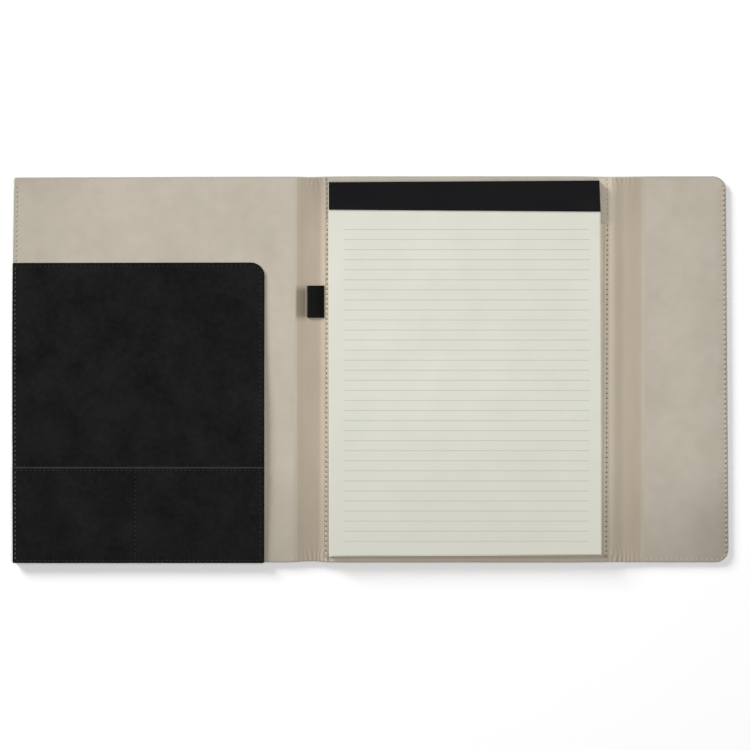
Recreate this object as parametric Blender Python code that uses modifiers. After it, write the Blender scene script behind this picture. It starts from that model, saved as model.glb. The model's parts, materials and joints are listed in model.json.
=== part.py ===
"""Magnetic flap portfolio, lying open with its inside up.

Units are metres. X runs from the front cover's free edge to the flap's free edge, Y towards the head
of the writing pad, and Z up from the table. Five panels of leatherette are joined by four folds: the
front cover, the spine, the back panel, the gusset and the flap. A lining lies over the board of each
stiff panel and turns down at its rim. The writing pad slides into a sleeve on the back panel.
"""

import math

import bmesh
import bpy
from mathutils import Matrix

# Writing pad, and the margins that the back panel leaves round it
PAD_WIDTH = 0.2159
PAD_HEIGHT = 0.2970
PAD_LEFT = 0.0056
PAD_RIGHT = 0.0085
PAD_TOP = 0.0033
PAD_FOOT = 0.0047

# Panels, laid flat: the back panel is made to hold the pad, and the front cover stops short of the gusset
COVER_HEIGHT = PAD_TOP + PAD_HEIGHT + PAD_FOOT
BACK_WIDTH = PAD_LEFT + PAD_WIDTH + PAD_RIGHT
FRONT_SETBACK = 0.0045
FRONT_WIDTH = BACK_WIDTH - FRONT_SETBACK
SPINE_WIDTH = 0.0195
GUSSET_WIDTH = 0.0240
FLAP_WIDTH = 0.0680
FRONT_CORNER = 0.0022
FLAP_CORNER = 0.0100

# Layers of a panel, from the outside in, and the gap left between pieces that touch
LEATHER = 0.0009
FOAM = 0.0008
BOARD = 0.0016
FLAP_BOARD = 0.0014
LINING = 0.0007
SEAT = 0.0003

# Edges of the linings: a sewn edge stops just inside the outer leather, and a folded edge stands back from
# its fold. Each turns down in a wall with a short foot
LINING_INSET = 0.0002
FOLD_ROOM = 0.0018
LINING_FLANGE = 0.0003
LINING_WALL = 0.0004

# Pockets of the front cover, measured from its free edge and its foot
POCKET_LEATHER = 0.0007
POCKET_WIDTH = 0.1997
POCKET_HEIGHT = 0.2375
POCKET_CORNER = 0.0107
POCKET_DEPTH = 0.0011
POCKET_BORDER = 0.0030
WALL_RUN = 0.0008
CARD_POCKET_HEIGHT = 0.0760
CARD_POCKET_DEPTH = 0.0009
CARD_POCKET_BORDER = 0.0021
CARD_DIVIDER = 0.0975
DIVIDER_SEAM = 0.0020

# Magnets of the flap and the steel keepers that they meet in the closed front cover
MAGNET_RADIUS = 0.0070
MAGNET_HEIGHT = 0.0010
MAGNET_INSET = 0.0120
MAGNET_SPREAD = 0.1600

# Layers of the pad, its binding and the sleeve that its backing card slides into
PAD_SHEETS = 0.0030
PAD_CARD = 0.0006
TOP_SHEET = 0.00025
BINDING_DEPTH = 0.0228
TAPE = 0.00025
STAPLE_WIDTH = 0.0120
STAPLE_WIRE = 0.0005
STAPLE_SPACING = 0.0700
SLEEVE = 0.0006
SLEEVE_DROP = 0.0370
SLEEVE_FLANGE = 0.0016

# Elastic pen loop, sewn to the edge of the back panel beside the spine
LOOP_DROP = 0.0861
LOOP_LENGTH = 0.0254
LOOP_REACH = 0.0139
LOOP_HEIGHT = 0.0056
LOOP_SEAM = 0.0030
ELASTIC = 0.0012

# Fineness of round stretches
CORNER_STEPS = 6
BARREL_STEPS = 8
DISC_SIDES = 40
WELD = 0.000001

# Places along X and Y
X_FRONT = -(FRONT_WIDTH + SPINE_WIDTH + BACK_WIDTH + GUSSET_WIDTH + FLAP_WIDTH) / 2
X_COVER_FOLD = X_FRONT + FRONT_WIDTH
X_SPINE_FOLD = X_COVER_FOLD + SPINE_WIDTH
X_GUSSET_FOLD = X_SPINE_FOLD + BACK_WIDTH
X_FLAP_FOLD = X_GUSSET_FOLD + GUSSET_WIDTH
X_FLAP = X_FLAP_FOLD + FLAP_WIDTH
X_PAD = X_SPINE_FOLD + PAD_LEFT
Y_TOP = COVER_HEIGHT / 2
Y_BOTTOM = -COVER_HEIGHT / 2
Y_PAD_HEAD = Y_TOP - PAD_TOP - TAPE - SEAT
Y_PAD_FOOT = Y_BOTTOM + PAD_FOOT
Y_PERFORATION = Y_TOP - PAD_TOP - BINDING_DEPTH

# Heights of the layers
Z_FOLD = LEATHER / 2
Z_FOAM = LEATHER + SEAT
Z_BOARD = Z_FOAM + FOAM + SEAT
Z_LINING_FOOT = LEATHER + SEAT + LINING
Z_LINING = Z_BOARD + BOARD + SEAT + LINING
Z_FLAP_LINING = LEATHER + SEAT + FLAP_BOARD + SEAT + LINING
Z_POCKET = Z_LINING + POCKET_DEPTH + POCKET_LEATHER
Z_TAPE = Z_LINING + SEAT
Z_CARD = Z_TAPE + TAPE + SEAT
Z_SLEEVE = Z_CARD + PAD_CARD + SEAT + SLEEVE
Z_SHEETS = Z_SLEEVE + SEAT
Z_TOP_SHEET = Z_SHEETS + PAD_SHEETS + SEAT
Z_PAD = Z_TOP_SHEET + max(TAPE, TOP_SHEET)

# How far a board stays inside a sewn edge and inside a fold
LINING_RIM = LINING_FLANGE + LINING_WALL
BOARD_INSET = LINING_INSET + LINING_RIM + LINING + SEAT
FOLD_INSET = FOLD_ROOM + LINING_RIM + LINING + SEAT

# A drawing in XY is stood up in XZ or YZ by turning it
UPRIGHT_XZ = Matrix(((1, 0, 0), (0, 0, -1), (0, 1, 0))).to_4x4()
UPRIGHT_YZ = Matrix(((0, 0, 1), (1, 0, 0), (0, 1, 0))).to_4x4()

COLOURS = {
    "outer_leather": ((0.014, 0.014, 0.015), 0.55, 0.0),
    "pocket_leather": ((0.013, 0.013, 0.013), 0.62, 0.0),
    "lining": ((0.52, 0.46, 0.38), 0.90, 0.0),
    "foam": ((0.62, 0.62, 0.60), 0.95, 0.0),
    "board": ((0.30, 0.26, 0.21), 0.90, 0.0),
    "magnet": ((0.45, 0.45, 0.46), 0.35, 1.0),
    "elastic": ((0.008, 0.008, 0.009), 0.80, 0.0),
    "paper": ((0.71, 0.70, 0.62), 0.85, 0.0),
    "backing_card": ((0.36, 0.30, 0.23), 0.90, 0.0),
    "binding": ((0.014, 0.013, 0.015), 0.50, 0.0),
    "staple": ((0.55, 0.55, 0.56), 0.30, 1.0),
}


def clear_scene():
    for found in list(bpy.data.objects):
        bpy.data.objects.remove(found, do_unlink=True)


def make_collection(name):
    collection = bpy.data.collections.new(name)
    bpy.context.scene.collection.children.link(collection)
    return collection


def make_material(name):
    colour, roughness, metallic = COLOURS[name]
    material = bpy.data.materials.new(name)
    material.use_nodes = True
    shader = material.node_tree.nodes["Principled BSDF"]
    shader.inputs["Base Color"].default_value = (*colour, 1)
    shader.inputs["Roughness"].default_value = roughness
    shader.inputs["Metallic"].default_value = metallic
    return material


def make_body(name, place, parent=None):
    """An empty on a body's joint axis, which carries the body's pieces."""
    empty = bpy.data.objects.new(name + "_body", None)
    PARTS.objects.link(empty)
    empty.location = place
    bpy.context.view_layer.update()
    if parent:
        attach(empty, parent)
    return empty


def attach(piece, body):
    """Parents a piece to its body and leaves it where it is."""
    bpy.context.view_layer.update()
    piece.parent = body
    piece.matrix_parent_inverse = body.matrix_world.inverted()


def finish(piece, body, material):
    piece.data.materials.append(MATERIALS[material])
    attach(piece, body)
    return piece


def mesh_object(name, bm, collection):
    mesh = bpy.data.meshes.new(name)
    bm.to_mesh(mesh)
    bm.free()
    made = bpy.data.objects.new(name, mesh)
    collection.objects.link(made)
    return made


def box(name, low, high):
    bm = bmesh.new()
    bmesh.ops.create_cube(bm, size=1)
    bmesh.ops.scale(bm, vec=[b - a for a, b in zip(low, high)], verts=bm.verts)
    bmesh.ops.translate(bm, vec=[(a + b) / 2 for a, b in zip(low, high)], verts=bm.verts)
    return mesh_object(name, bm, PARTS)


def disc(name, centre, radius, height, collection):
    """A round disc, standing on its centre point."""
    bm = bmesh.new()
    bmesh.ops.create_cone(
        bm, cap_ends=True, segments=DISC_SIDES, radius1=radius, radius2=radius, depth=height
    )
    x, y, z = centre
    bmesh.ops.translate(bm, vec=(x, y, z + height / 2), verts=bm.verts)
    return mesh_object(name, bm, collection)


def arc(centre, radius, start, end, steps):
    """Points on an arc, from one angle in degrees to another."""
    angles = [math.radians(start + (end - start) * i / steps) for i in range(steps + 1)]
    return [(centre[0] + radius * math.cos(a), centre[1] + radius * math.sin(a)) for a in angles]


def rounded_rectangle(x0, y0, x1, y1, left_radius, right_radius):
    """An outline, anticlockwise, with one radius at its left corners and one at its right ones."""
    l, r = left_radius, right_radius
    return (
        arc((x0 + l, y0 + l), l, 180, 270, CORNER_STEPS)
        + arc((x1 - r, y0 + r), r, 270, 360, CORNER_STEPS)
        + arc((x1 - r, y1 - r), r, 0, 90, CORNER_STEPS)
        + arc((x0 + l, y1 - l), l, 90, 180, CORNER_STEPS)
    )


def drawing(name, outlines, depth, matrix):
    """A flat drawing of closed outlines, the later ones holes, with a depth along its own Z."""
    curve = bpy.data.curves.new(name, "CURVE")
    curve.dimensions = "2D"
    curve.fill_mode = "BOTH"
    curve.extrude = depth / 2
    for outline in outlines:
        spline = curve.splines.new("POLY")
        spline.points.add(len(outline) - 1)
        for point, (u, v) in zip(spline.points, outline):
            point.co = (u, v, 0, 1)
        spline.use_cyclic_u = True
    made = bpy.data.objects.new(name, curve)
    PARTS.objects.link(made)
    made.matrix_world = matrix
    return made


def flat_piece(name, outline, z0, z1):
    return drawing(name, [outline], z1 - z0, Matrix.Translation((0, 0, (z0 + z1) / 2)))


def as_mesh(curve_object, collection):
    """A mesh object in the place of a curve, so that it can be cut or can cut."""
    bpy.context.view_layer.update()
    graph = bpy.context.evaluated_depsgraph_get()
    evaluated = curve_object.evaluated_get(graph)
    bm = bmesh.new()
    bm.from_mesh(bpy.data.meshes.new_from_object(evaluated))
    bmesh.ops.remove_doubles(bm, verts=bm.verts, dist=WELD)
    bmesh.ops.recalc_face_normals(bm, faces=bm.faces)
    name, place = curve_object.name, curve_object.matrix_world.copy()
    bpy.data.objects.remove(curve_object, do_unlink=True)
    made = mesh_object(name, bm, collection)
    made.matrix_world = place
    return made


def cut(piece, cutter):
    """Takes the cutter's shape out of a piece and keeps the cutter as a hidden guide."""
    cutter.hide_render = True
    cutter.display_type = "WIRE"
    boolean = piece.modifiers.new("cut_" + cutter.name, "BOOLEAN")
    boolean.operation = "DIFFERENCE"
    boolean.object = cutter


def thicken(surface, thickness):
    """Turns an open surface, which faces up, into a sheet that hangs below it."""
    solidify = surface.modifiers.new("thickness", "SOLIDIFY")
    solidify.thickness = thickness
    solidify.offset = -1
    solidify.use_even_offset = True
    return surface


def lining_pan(name, left, right, corners, top):
    """A lining that turns down to the outer leather along its rim.

    left and right are the places of the rim's three rings: its edge, the end of its foot and the
    top of its wall. corners are the radii at the left and at the right.
    """
    bm = bmesh.new()
    loops = []
    for i, z in enumerate((Z_LINING_FOOT, Z_LINING_FOOT, top)):
        inset = SEWN_RINGS[i]
        radii = [max(radius - inset, LINING) for radius in corners]
        outline = rounded_rectangle(left[i], Y_BOTTOM + inset, right[i], Y_TOP - inset, *radii)
        loops.append([bm.verts.new((x, y, z)) for x, y in outline])
    for outer, inner in zip(loops, loops[1:]):
        for i in range(len(outer)):
            j = (i + 1) % len(outer)
            bm.faces.new((outer[i], outer[j], inner[j], inner[i]))
    bm.faces.new(loops[-1])
    return thicken(mesh_object(name, bm, PARTS), LINING)


def pouch(name, columns, rows, low, step, rise, thickness):
    """A sheet sewn down at three sides and open at its top row.

    Each column and row is a place, its share of the step up from the sewn border, and its share of
    the pouch's own rise.
    """
    bm = bmesh.new()
    grid = []
    for y, base_y, pouch_y in rows:
        line = []
        for x, base_x, pouch_x in columns:
            z = low + step * base_x * base_y + rise * pouch_x * pouch_y
            line.append(bm.verts.new((x, y, z)))
        grid.append(line)
    for below, above in zip(grid, grid[1:]):
        for i in range(len(below) - 1):
            bm.faces.new((below[i], below[i + 1], above[i + 1], above[i]))
    return thicken(mesh_object(name, bm, PARTS), thickness)


def sewn_foot(border, mouth):
    """Rows of a pouch from the cover's foot up to its mouth."""
    return sewn_edge(Y_BOTTOM, border, 1) + [(mouth, 1, 1)]


def sewn_edge(place, border, inward):
    """A pouch's border, sewn down, and its wall. inward is 1 at a left side or a foot, -1 at a right side."""
    lines = [
        (place, 0, 0),
        (place + inward * border, 0, 0),
        (place + inward * (border + WALL_RUN), 1, 1),
    ]
    return lines[::inward]


def sewn_divider(x, seam):
    """Columns of a seam that holds a pouch down in its middle."""
    half = seam / 2
    return [(x - half - WALL_RUN, 1, 1), (x - half, 1, 0), (x + half, 1, 0), (x + half + WALL_RUN, 1, 1)]


def folded_strip(name, left, right):
    """Outer leather between two folds, with a rolled edge round each fold's axis."""
    outline = arc((left, Z_FOLD), Z_FOLD, 90, 270, BARREL_STEPS)
    outline += arc((right, Z_FOLD), Z_FOLD, -90, 90, BARREL_STEPS)
    return drawing(name, [outline], COVER_HEIGHT, UPRIGHT_XZ)


def panel_outer(name, left, right, corners):
    return flat_piece(name, rounded_rectangle(left, Y_BOTTOM, right, Y_TOP, *corners), 0, LEATHER)


def panel_filling(name, left, right, corners, z0, z1):
    """A board or a sheet of foam inside a lining."""
    radii = [max(radius - BOARD_INSET, LINING) for radius in corners]
    low, high = Y_BOTTOM + BOARD_INSET, Y_TOP - BOARD_INSET
    return flat_piece(name, rounded_rectangle(left, low, right, high, *radii), z0, z1)


def strip_lining(name, left, right):
    """The lining of a soft panel between two folds."""
    low = (left + FOLD_ROOM, Y_BOTTOM + LINING_INSET, LEATHER + SEAT)
    high = (right - FOLD_ROOM, Y_TOP - LINING_INSET, Z_LINING_FOOT)
    return box(name, low, high)


def hole_for(piece, hole_disc, base):
    """Cuts a disc's hole, with room round it, through a board."""
    x, y, z = base
    hole = disc(hole_disc + "_hole", (x, y, z - BOARD), MAGNET_RADIUS + SEAT, 3 * BOARD, CUTTERS)
    cut(piece, hole)


def build_back(body):
    leather_edge = LEATHER / 2 + SEAT
    square = (LINING, LINING)
    outer = panel_outer(
        "back_outer", X_SPINE_FOLD + leather_edge, X_GUSSET_FOLD - leather_edge, square
    )
    finish(outer, body, "outer_leather")
    left, right = X_SPINE_FOLD + FOLD_INSET, X_GUSSET_FOLD - FOLD_INSET
    foam = panel_filling("back_foam", left, right, square, Z_FOAM, Z_FOAM + FOAM)
    finish(foam, body, "foam")
    board = panel_filling("back_board", left, right, square, Z_BOARD, Z_BOARD + BOARD)
    finish(board, body, "board")
    lining = lining_pan(
        "back_lining",
        [X_SPINE_FOLD + ring for ring in FOLD_RINGS],
        [X_GUSSET_FOLD - ring for ring in FOLD_RINGS],
        square,
        Z_LINING,
    )
    finish(lining, body, "lining")
    finish(build_sleeve(), body, "lining")
    finish(build_loop(), body, "elastic")


def build_sleeve():
    left, right = X_SPINE_FOLD + FOLD_RINGS[-1], X_GUSSET_FOLD - FOLD_RINGS[-1]
    columns = sewn_edge(left, SLEEVE_FLANGE, 1) + sewn_edge(right, SLEEVE_FLANGE, -1)
    border = Z_LINING + SEAT + SLEEVE
    rows = sewn_foot(POCKET_BORDER, Y_TOP - SLEEVE_DROP)
    return pouch("pad_sleeve", columns, rows, border, 0, Z_SLEEVE - border, SLEEVE)


def build_loop():
    """The elastic, doubled into a flat loop that narrows to its seam."""
    root = X_SPINE_FOLD + FOLD_ROOM - SEAT
    base = Z_LINING_FOOT + SEAT
    centre = (root - LOOP_REACH + LOOP_HEIGHT / 2, base + LOOP_HEIGHT / 2)
    run = root - centre[0]
    outer = arc(centre, LOOP_HEIGHT / 2, 90, 270, BARREL_STEPS)
    outer += [(root, base), (root, base + 2 * ELASTIC)]
    gap = (LOOP_HEIGHT - 2 * ELASTIC) * LOOP_SEAM / run
    inner = arc(centre, LOOP_HEIGHT / 2 - ELASTIC, 90, 270, BARREL_STEPS)
    inner += [(root - LOOP_SEAM, base + ELASTIC), (root - LOOP_SEAM, base + ELASTIC + gap)]
    middle = Y_TOP - LOOP_DROP - LOOP_LENGTH / 2
    return drawing(
        "pen_loop", [outer, inner], LOOP_LENGTH, Matrix.Translation((0, middle, 0)) @ UPRIGHT_XZ
    )


def build_strip(name, left, right, body):
    finish(folded_strip(name + "_outer", left, right), body, "outer_leather")
    finish(strip_lining(name + "_lining", left, right), body, "lining")


def build_front(body):
    corners = (FRONT_CORNER, LINING)
    leather_edge = X_COVER_FOLD - LEATHER / 2 - SEAT
    finish(panel_outer("front_outer", X_FRONT, leather_edge, corners), body, "outer_leather")
    left, right = X_FRONT + BOARD_INSET, X_COVER_FOLD - FOLD_INSET
    foam = panel_filling("front_foam", left, right, corners, Z_FOAM, Z_FOAM + FOAM)
    finish(foam, body, "foam")
    board = panel_filling("front_board", left, right, corners, Z_BOARD, Z_BOARD + BOARD)
    board = as_mesh(board, PARTS)
    finish(board, body, "board")
    lining = lining_pan(
        "front_lining",
        [X_FRONT + ring for ring in SEWN_RINGS],
        [X_COVER_FOLD - ring for ring in FOLD_RINGS],
        corners,
        Z_LINING,
    )
    finish(lining, body, "lining")
    keeper_x = X_COVER_FOLD - (BACK_WIDTH - FLAP_WIDTH + MAGNET_INSET)
    for place, y in MAGNET_PLACES:
        base = (keeper_x, y, Z_BOARD)
        keeper = disc("front_keeper_" + place, base, MAGNET_RADIUS, MAGNET_HEIGHT, PARTS)
        finish(keeper, body, "magnet")
        hole_for(board, keeper.name, base)
    finish(build_document_pocket(), body, "pocket_leather")
    finish(build_card_pocket(), body, "pocket_leather")


def build_document_pocket():
    right, mouth = X_FRONT + POCKET_WIDTH, Y_BOTTOM + POCKET_HEIGHT
    columns = sewn_edge(X_FRONT, POCKET_BORDER, 1) + sewn_edge(right, POCKET_BORDER, -1)
    border = Z_LINING + SEAT + POCKET_LEATHER
    rows = sewn_foot(POCKET_BORDER, mouth)
    pocket = pouch("document_pocket", columns, rows, border, 0, Z_POCKET - border, POCKET_LEATHER)
    cut(pocket, build_corner_cutter(right, mouth))
    return pocket


def build_corner_cutter(right, mouth):
    """What the pocket's rounded corner lacks: a square corner less a quarter disc."""
    far = POCKET_CORNER / 2
    centre = (right - POCKET_CORNER, mouth - POCKET_CORNER)
    outline = arc(centre, POCKET_CORNER, 90, 0, CORNER_STEPS)
    outline += [(right + far, mouth - POCKET_CORNER), (right + far, mouth + far)]
    outline += [(right - POCKET_CORNER, mouth + far)]
    cutter = flat_piece("document_pocket_corner", outline, 0, 2 * Z_POCKET)
    return as_mesh(cutter, CUTTERS)


def build_card_pocket():
    right, divider = X_FRONT + POCKET_WIDTH, X_FRONT + CARD_DIVIDER
    columns = sewn_edge(X_FRONT, CARD_POCKET_BORDER, 1)
    columns += sewn_divider(divider, DIVIDER_SEAM)
    columns += sewn_edge(right, CARD_POCKET_BORDER, -1)
    border = Z_LINING + 2 * (SEAT + POCKET_LEATHER)
    step = Z_POCKET + SEAT + POCKET_LEATHER - border
    rows = sewn_foot(CARD_POCKET_BORDER, Y_BOTTOM + CARD_POCKET_HEIGHT)
    rise = CARD_POCKET_DEPTH - SEAT
    return pouch("card_pocket", columns, rows, border, step, rise, POCKET_LEATHER)


def build_flap(body):
    corners = (LINING, FLAP_CORNER)
    leather_edge = X_FLAP_FOLD + LEATHER / 2 + SEAT
    finish(panel_outer("flap_outer", leather_edge, X_FLAP, corners), body, "outer_leather")
    left, right = X_FLAP_FOLD + FOLD_INSET, X_FLAP - BOARD_INSET
    board_base = LEATHER + SEAT
    board = panel_filling("flap_board", left, right, corners, board_base, board_base + FLAP_BOARD)
    board = as_mesh(board, PARTS)
    finish(board, body, "board")
    lining = lining_pan(
        "flap_lining",
        [X_FLAP_FOLD + ring for ring in FOLD_RINGS],
        [X_FLAP - ring for ring in SEWN_RINGS],
        corners,
        Z_FLAP_LINING,
    )
    finish(lining, body, "lining")
    for place, y in MAGNET_PLACES:
        base = (X_FLAP - MAGNET_INSET, y, board_base)
        magnet = disc("flap_magnet_" + place, base, MAGNET_RADIUS, MAGNET_HEIGHT, PARTS)
        finish(magnet, body, "magnet")
        hole_for(board, magnet.name, base)


def staple_path(name, x, leg_end, wire, collection):
    """A bent wire: two legs and the crown between them, flush with the top of the sheets."""
    crown = Z_SHEETS + PAD_SHEETS - STAPLE_WIRE / 2
    y = Y_TOP - PAD_TOP - BINDING_DEPTH / 2
    curve = bpy.data.curves.new(name, "CURVE")
    curve.dimensions = "3D"
    curve.bevel_depth = wire / 2
    curve.bevel_resolution = 1
    curve.use_fill_caps = True
    spline = curve.splines.new("POLY")
    half = STAPLE_WIDTH / 2
    corners = [(x - half, leg_end), (x - half, crown), (x + half, crown), (x + half, leg_end)]
    spline.points.add(len(corners) - 1)
    for point, (u, z) in zip(spline.points, corners):
        point.co = (u, y, z, 1)
    made = bpy.data.objects.new(name, curve)
    PARTS.objects.link(made)
    return as_mesh(made, collection)


def build_pad(body):
    left, right = X_PAD, X_PAD + PAD_WIDTH
    card = box("pad_backing", (left, Y_PAD_FOOT, Z_CARD), (right, Y_PAD_HEAD, Z_CARD + PAD_CARD))
    finish(card, body, "backing_card")
    sheets_top = Z_SHEETS + PAD_SHEETS
    sheets = box("pad_sheets", (left, Y_PAD_FOOT, Z_SHEETS), (right, Y_PAD_HEAD, sheets_top))
    finish(sheets, body, "paper")
    finish(build_binding(), body, "binding")
    for i, place in enumerate(("left", "middle", "right")):
        x = X_PAD + PAD_WIDTH / 2 + (i - 1) * STAPLE_SPACING
        name = "staple_" + place
        staple = staple_path(name, x, Z_CARD + SEAT, STAPLE_WIRE, PARTS)
        finish(staple, body, "staple")
        through = Z_CARD - PAD_CARD
        hole = staple_path(name + "_hole", x, through, STAPLE_WIRE + 2 * SEAT, CUTTERS)
        cut(sheets, hole)
        cut(card, hole)


def build_binding():
    """A strip folded round the pad's head: a front leaf, the head and a back leaf."""
    low, high = Z_TAPE, Z_TOP_SHEET + TAPE
    head = Y_TOP - PAD_TOP
    foot = Y_PERFORATION
    outline = [
        (foot, low),
        (head, low),
        (head, high),
        (foot, high),
        (foot, high - TAPE),
        (head - TAPE, high - TAPE),
        (head - TAPE, low + TAPE),
        (foot, low + TAPE),
    ]
    middle = X_PAD + PAD_WIDTH / 2
    return drawing(
        "pad_binding", [outline], PAD_WIDTH, Matrix.Translation((middle, 0, 0)) @ UPRIGHT_YZ
    )


def build_top_sheet(body):
    low = (X_PAD, Y_PAD_FOOT, Z_TOP_SHEET)
    high = (X_PAD + PAD_WIDTH, Y_PERFORATION - SEAT, Z_TOP_SHEET + TOP_SHEET)
    finish(box("top_sheet", low, high), body, "paper")


SEWN_RINGS = (LINING_INSET, LINING_INSET + LINING_FLANGE, LINING_INSET + LINING_RIM)
FOLD_RINGS = (FOLD_ROOM, FOLD_ROOM + LINING_FLANGE, FOLD_ROOM + LINING_RIM)
MAGNET_PLACES = (("upper", MAGNET_SPREAD / 2), ("lower", -MAGNET_SPREAD / 2))

clear_scene()
PARTS = make_collection("magnetic_flap_portfolio")
CUTTERS = make_collection("cutters")
MATERIALS = {name: make_material(name) for name in COLOURS}

back = make_body("back", (0, 0, 0))
spine = make_body("spine", (X_SPINE_FOLD, 0, Z_FOLD), back)
front = make_body("front", (X_COVER_FOLD, 0, Z_FOLD), spine)
gusset = make_body("gusset", (X_GUSSET_FOLD, 0, Z_FOLD), back)
flap = make_body("flap", (X_FLAP_FOLD, 0, Z_FOLD), gusset)
pad = make_body("pad", (X_PAD + PAD_WIDTH / 2, Y_PAD_HEAD, Z_CARD), back)
sheet = make_body("sheet", (X_PAD + PAD_WIDTH / 2, Y_PERFORATION, Z_PAD + SEAT), pad)

build_back(back)
build_strip("spine", X_COVER_FOLD, X_SPINE_FOLD, spine)
build_front(front)
build_strip("gusset", X_GUSSET_FOLD, X_FLAP_FOLD, gusset)
build_flap(flap)
build_pad(pad)
build_top_sheet(sheet)
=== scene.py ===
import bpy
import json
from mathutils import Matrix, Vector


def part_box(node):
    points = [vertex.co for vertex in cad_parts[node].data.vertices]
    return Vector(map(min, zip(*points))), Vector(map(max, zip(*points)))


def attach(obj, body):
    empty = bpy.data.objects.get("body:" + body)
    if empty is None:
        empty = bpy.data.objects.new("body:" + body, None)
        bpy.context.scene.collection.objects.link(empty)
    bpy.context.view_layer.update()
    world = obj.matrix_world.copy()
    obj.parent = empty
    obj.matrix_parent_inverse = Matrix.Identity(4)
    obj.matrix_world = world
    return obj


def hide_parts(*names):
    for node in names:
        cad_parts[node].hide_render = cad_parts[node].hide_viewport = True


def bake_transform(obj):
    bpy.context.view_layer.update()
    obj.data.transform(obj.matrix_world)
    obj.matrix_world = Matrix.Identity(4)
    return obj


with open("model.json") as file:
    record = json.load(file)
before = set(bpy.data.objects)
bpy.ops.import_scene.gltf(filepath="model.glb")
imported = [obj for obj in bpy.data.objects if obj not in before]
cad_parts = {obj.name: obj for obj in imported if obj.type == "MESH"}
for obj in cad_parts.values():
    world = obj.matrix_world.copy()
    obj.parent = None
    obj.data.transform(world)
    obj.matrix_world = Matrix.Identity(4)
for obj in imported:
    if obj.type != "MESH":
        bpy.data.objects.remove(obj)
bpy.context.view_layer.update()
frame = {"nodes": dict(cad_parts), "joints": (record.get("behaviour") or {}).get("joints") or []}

import json
import math
import random

import bpy
from mathutils import Vector, geometry, kdtree, noise

# The portfolio lies open, inside up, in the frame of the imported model: x runs from the front cover
# to the flap, y towards the pad's head and z up. Lengths are in metres.

# Places of the frame
JOINT = {joint["name"]: joint["pos_m"] for joint in frame["joints"] if "pos_m" in joint}
X_COVER_FOLD, X_SPINE_FOLD = JOINT["cover_fold"][0], JOINT["spine_fold"][0]
X_GUSSET_FOLD, X_FLAP_FOLD = JOINT["gusset_fold"][0], JOINT["flap_fold"][0]
Y_PERFORATION = JOINT["sheet_turn"][1]
FRONT, BACK, FLAP = (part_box(part + "_lining") for part in ("front", "back", "flap"))
POCKET, CARD_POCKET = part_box("document_pocket"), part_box("card_pocket")
SLEEVE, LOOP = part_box("pad_sleeve"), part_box("pen_loop")
CARD, BLOCK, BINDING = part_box("pad_backing"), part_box("pad_sheets"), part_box("pad_binding")
Z_SKIN, Z_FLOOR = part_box("front_outer")[1].z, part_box("spine_lining")[1].z
X_MID_SPINE = (X_COVER_FOLD + X_SPINE_FOLD) / 2
X_MID_GUSSET = (X_GUSSET_FOLD + X_FLAP_FOLD) / 2
X_MID_BACK = (X_SPINE_FOLD + X_GUSSET_FOLD) / 2
MILLIMETRES = 1000

# Corners, rims and thicknesses. A panel's radii run anticlockwise from bottom left
SHARP, COVER_CORNER, FLAP_CORNER, POCKET_CORNER = 0.0002, 0.0014, 0.0100, 0.0107
POCKET_TOE, POCKET_TIP, SLEEVE_CORNER, CARD_CORNER = 0.0012, 0.0008, 0.0008, 0.0006
SQUARE = (SHARP,) * 4
FRONT_RADII = (COVER_CORNER, SHARP, SHARP, COVER_CORNER)
FLAP_RADII = (SHARP, FLAP_CORNER, FLAP_CORNER, SHARP)
COVER_RADII = (COVER_CORNER, FLAP_CORNER, FLAP_CORNER, COVER_CORNER)
SUEDE_RIM, LEATHER_RIM = 0.0006, 0.0004
RIM_RINGS = (0.0, 0.04, 0.16, 0.36, 0.64, 1.0)
RIM_FADE, CHANNEL_RIM, CARD_RIM = (0.0003, 0.0012), 0.4, 0.004
SUEDE, STRIP, POCKET_LEATHER, SLEEVE_LEAF = 0.0006, 0.0005, 0.0007, 0.00035
PAPER, BINDING_LEAF, SKIN = 0.00012, 0.0002, Z_SKIN - 0.0001
SUEDE_FOOT, FOLD_FOOT = Z_SKIN + 0.00025, Z_FLOOR - 0.0001
GUARD, TURN = 0.00006, 6
SHEET_GRID, SKIN_GRID, CARD_GRID, GRID_CLEAR = 0.005, 0.008, 0.03, 0.6

# How the cover lies. Its head and its foot spread, droop towards the front's free edge, and dip at
# the spine and the gusset; its sides bow and lean
LAY_HEAD = (0.0008, 0.0009, 0.0004, 0.0005)
LAY_FOOT = (0.0004, 0.0, 0.0009, 0.0003)
SPINE_DIP, SPINE_DIP_REACH = X_MID_SPINE + 0.002, 0.011
GUSSET_DIP, GUSSET_DIP_REACH = X_GUSSET_FOLD, 0.020
LAY_BOW, LAY_CURL, LAY_OUT = 0.0009, 0.0005, 0.0002
INNER_LEAN, OUTER_LEAN, LEAN_REACH = 0.0006, 0.0011, 0.04

# Seams
STITCH, POCKET_STITCH = 0.0039, 0.0036
SEAM_INSET, FRONT_INSET, FLAP_INSET, SEAM_TURN = 0.0023, 0.0027, 0.0016, 0.0008
X_LEFT_COLUMN, X_RIGHT_COLUMN = BACK[0].x + 0.0020, BACK[1].x - 0.0023
POCKET_SIDE, POCKET_HEAD, POCKET_FOOT, POCKET_RIGHT = 0.0022, 0.0029, 0.0018, 0.0028
FINE_STEP, COLUMN_STEP = 0.00065, 0.0003
SEAM_ROWS = (-0.0009, -0.0004, 0.0, 0.0004, 0.0009)
COLUMN_ROWS = (-0.0012, -0.0009, -0.0006, -0.0003, 0.0, 0.0003, 0.0006, 0.0009)
HOLE_WIDTH, HOLE_DEPTH = 0.00046, 0.00030
GROOVE_WIDTH, GROOVE_DEPTH = 0.0009, 0.00012
HEAD_BOLD, FOOT_BOLD, SIDE_BOLD, FAINT = 0.12, 0.12, 0.8, 0.15
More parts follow.
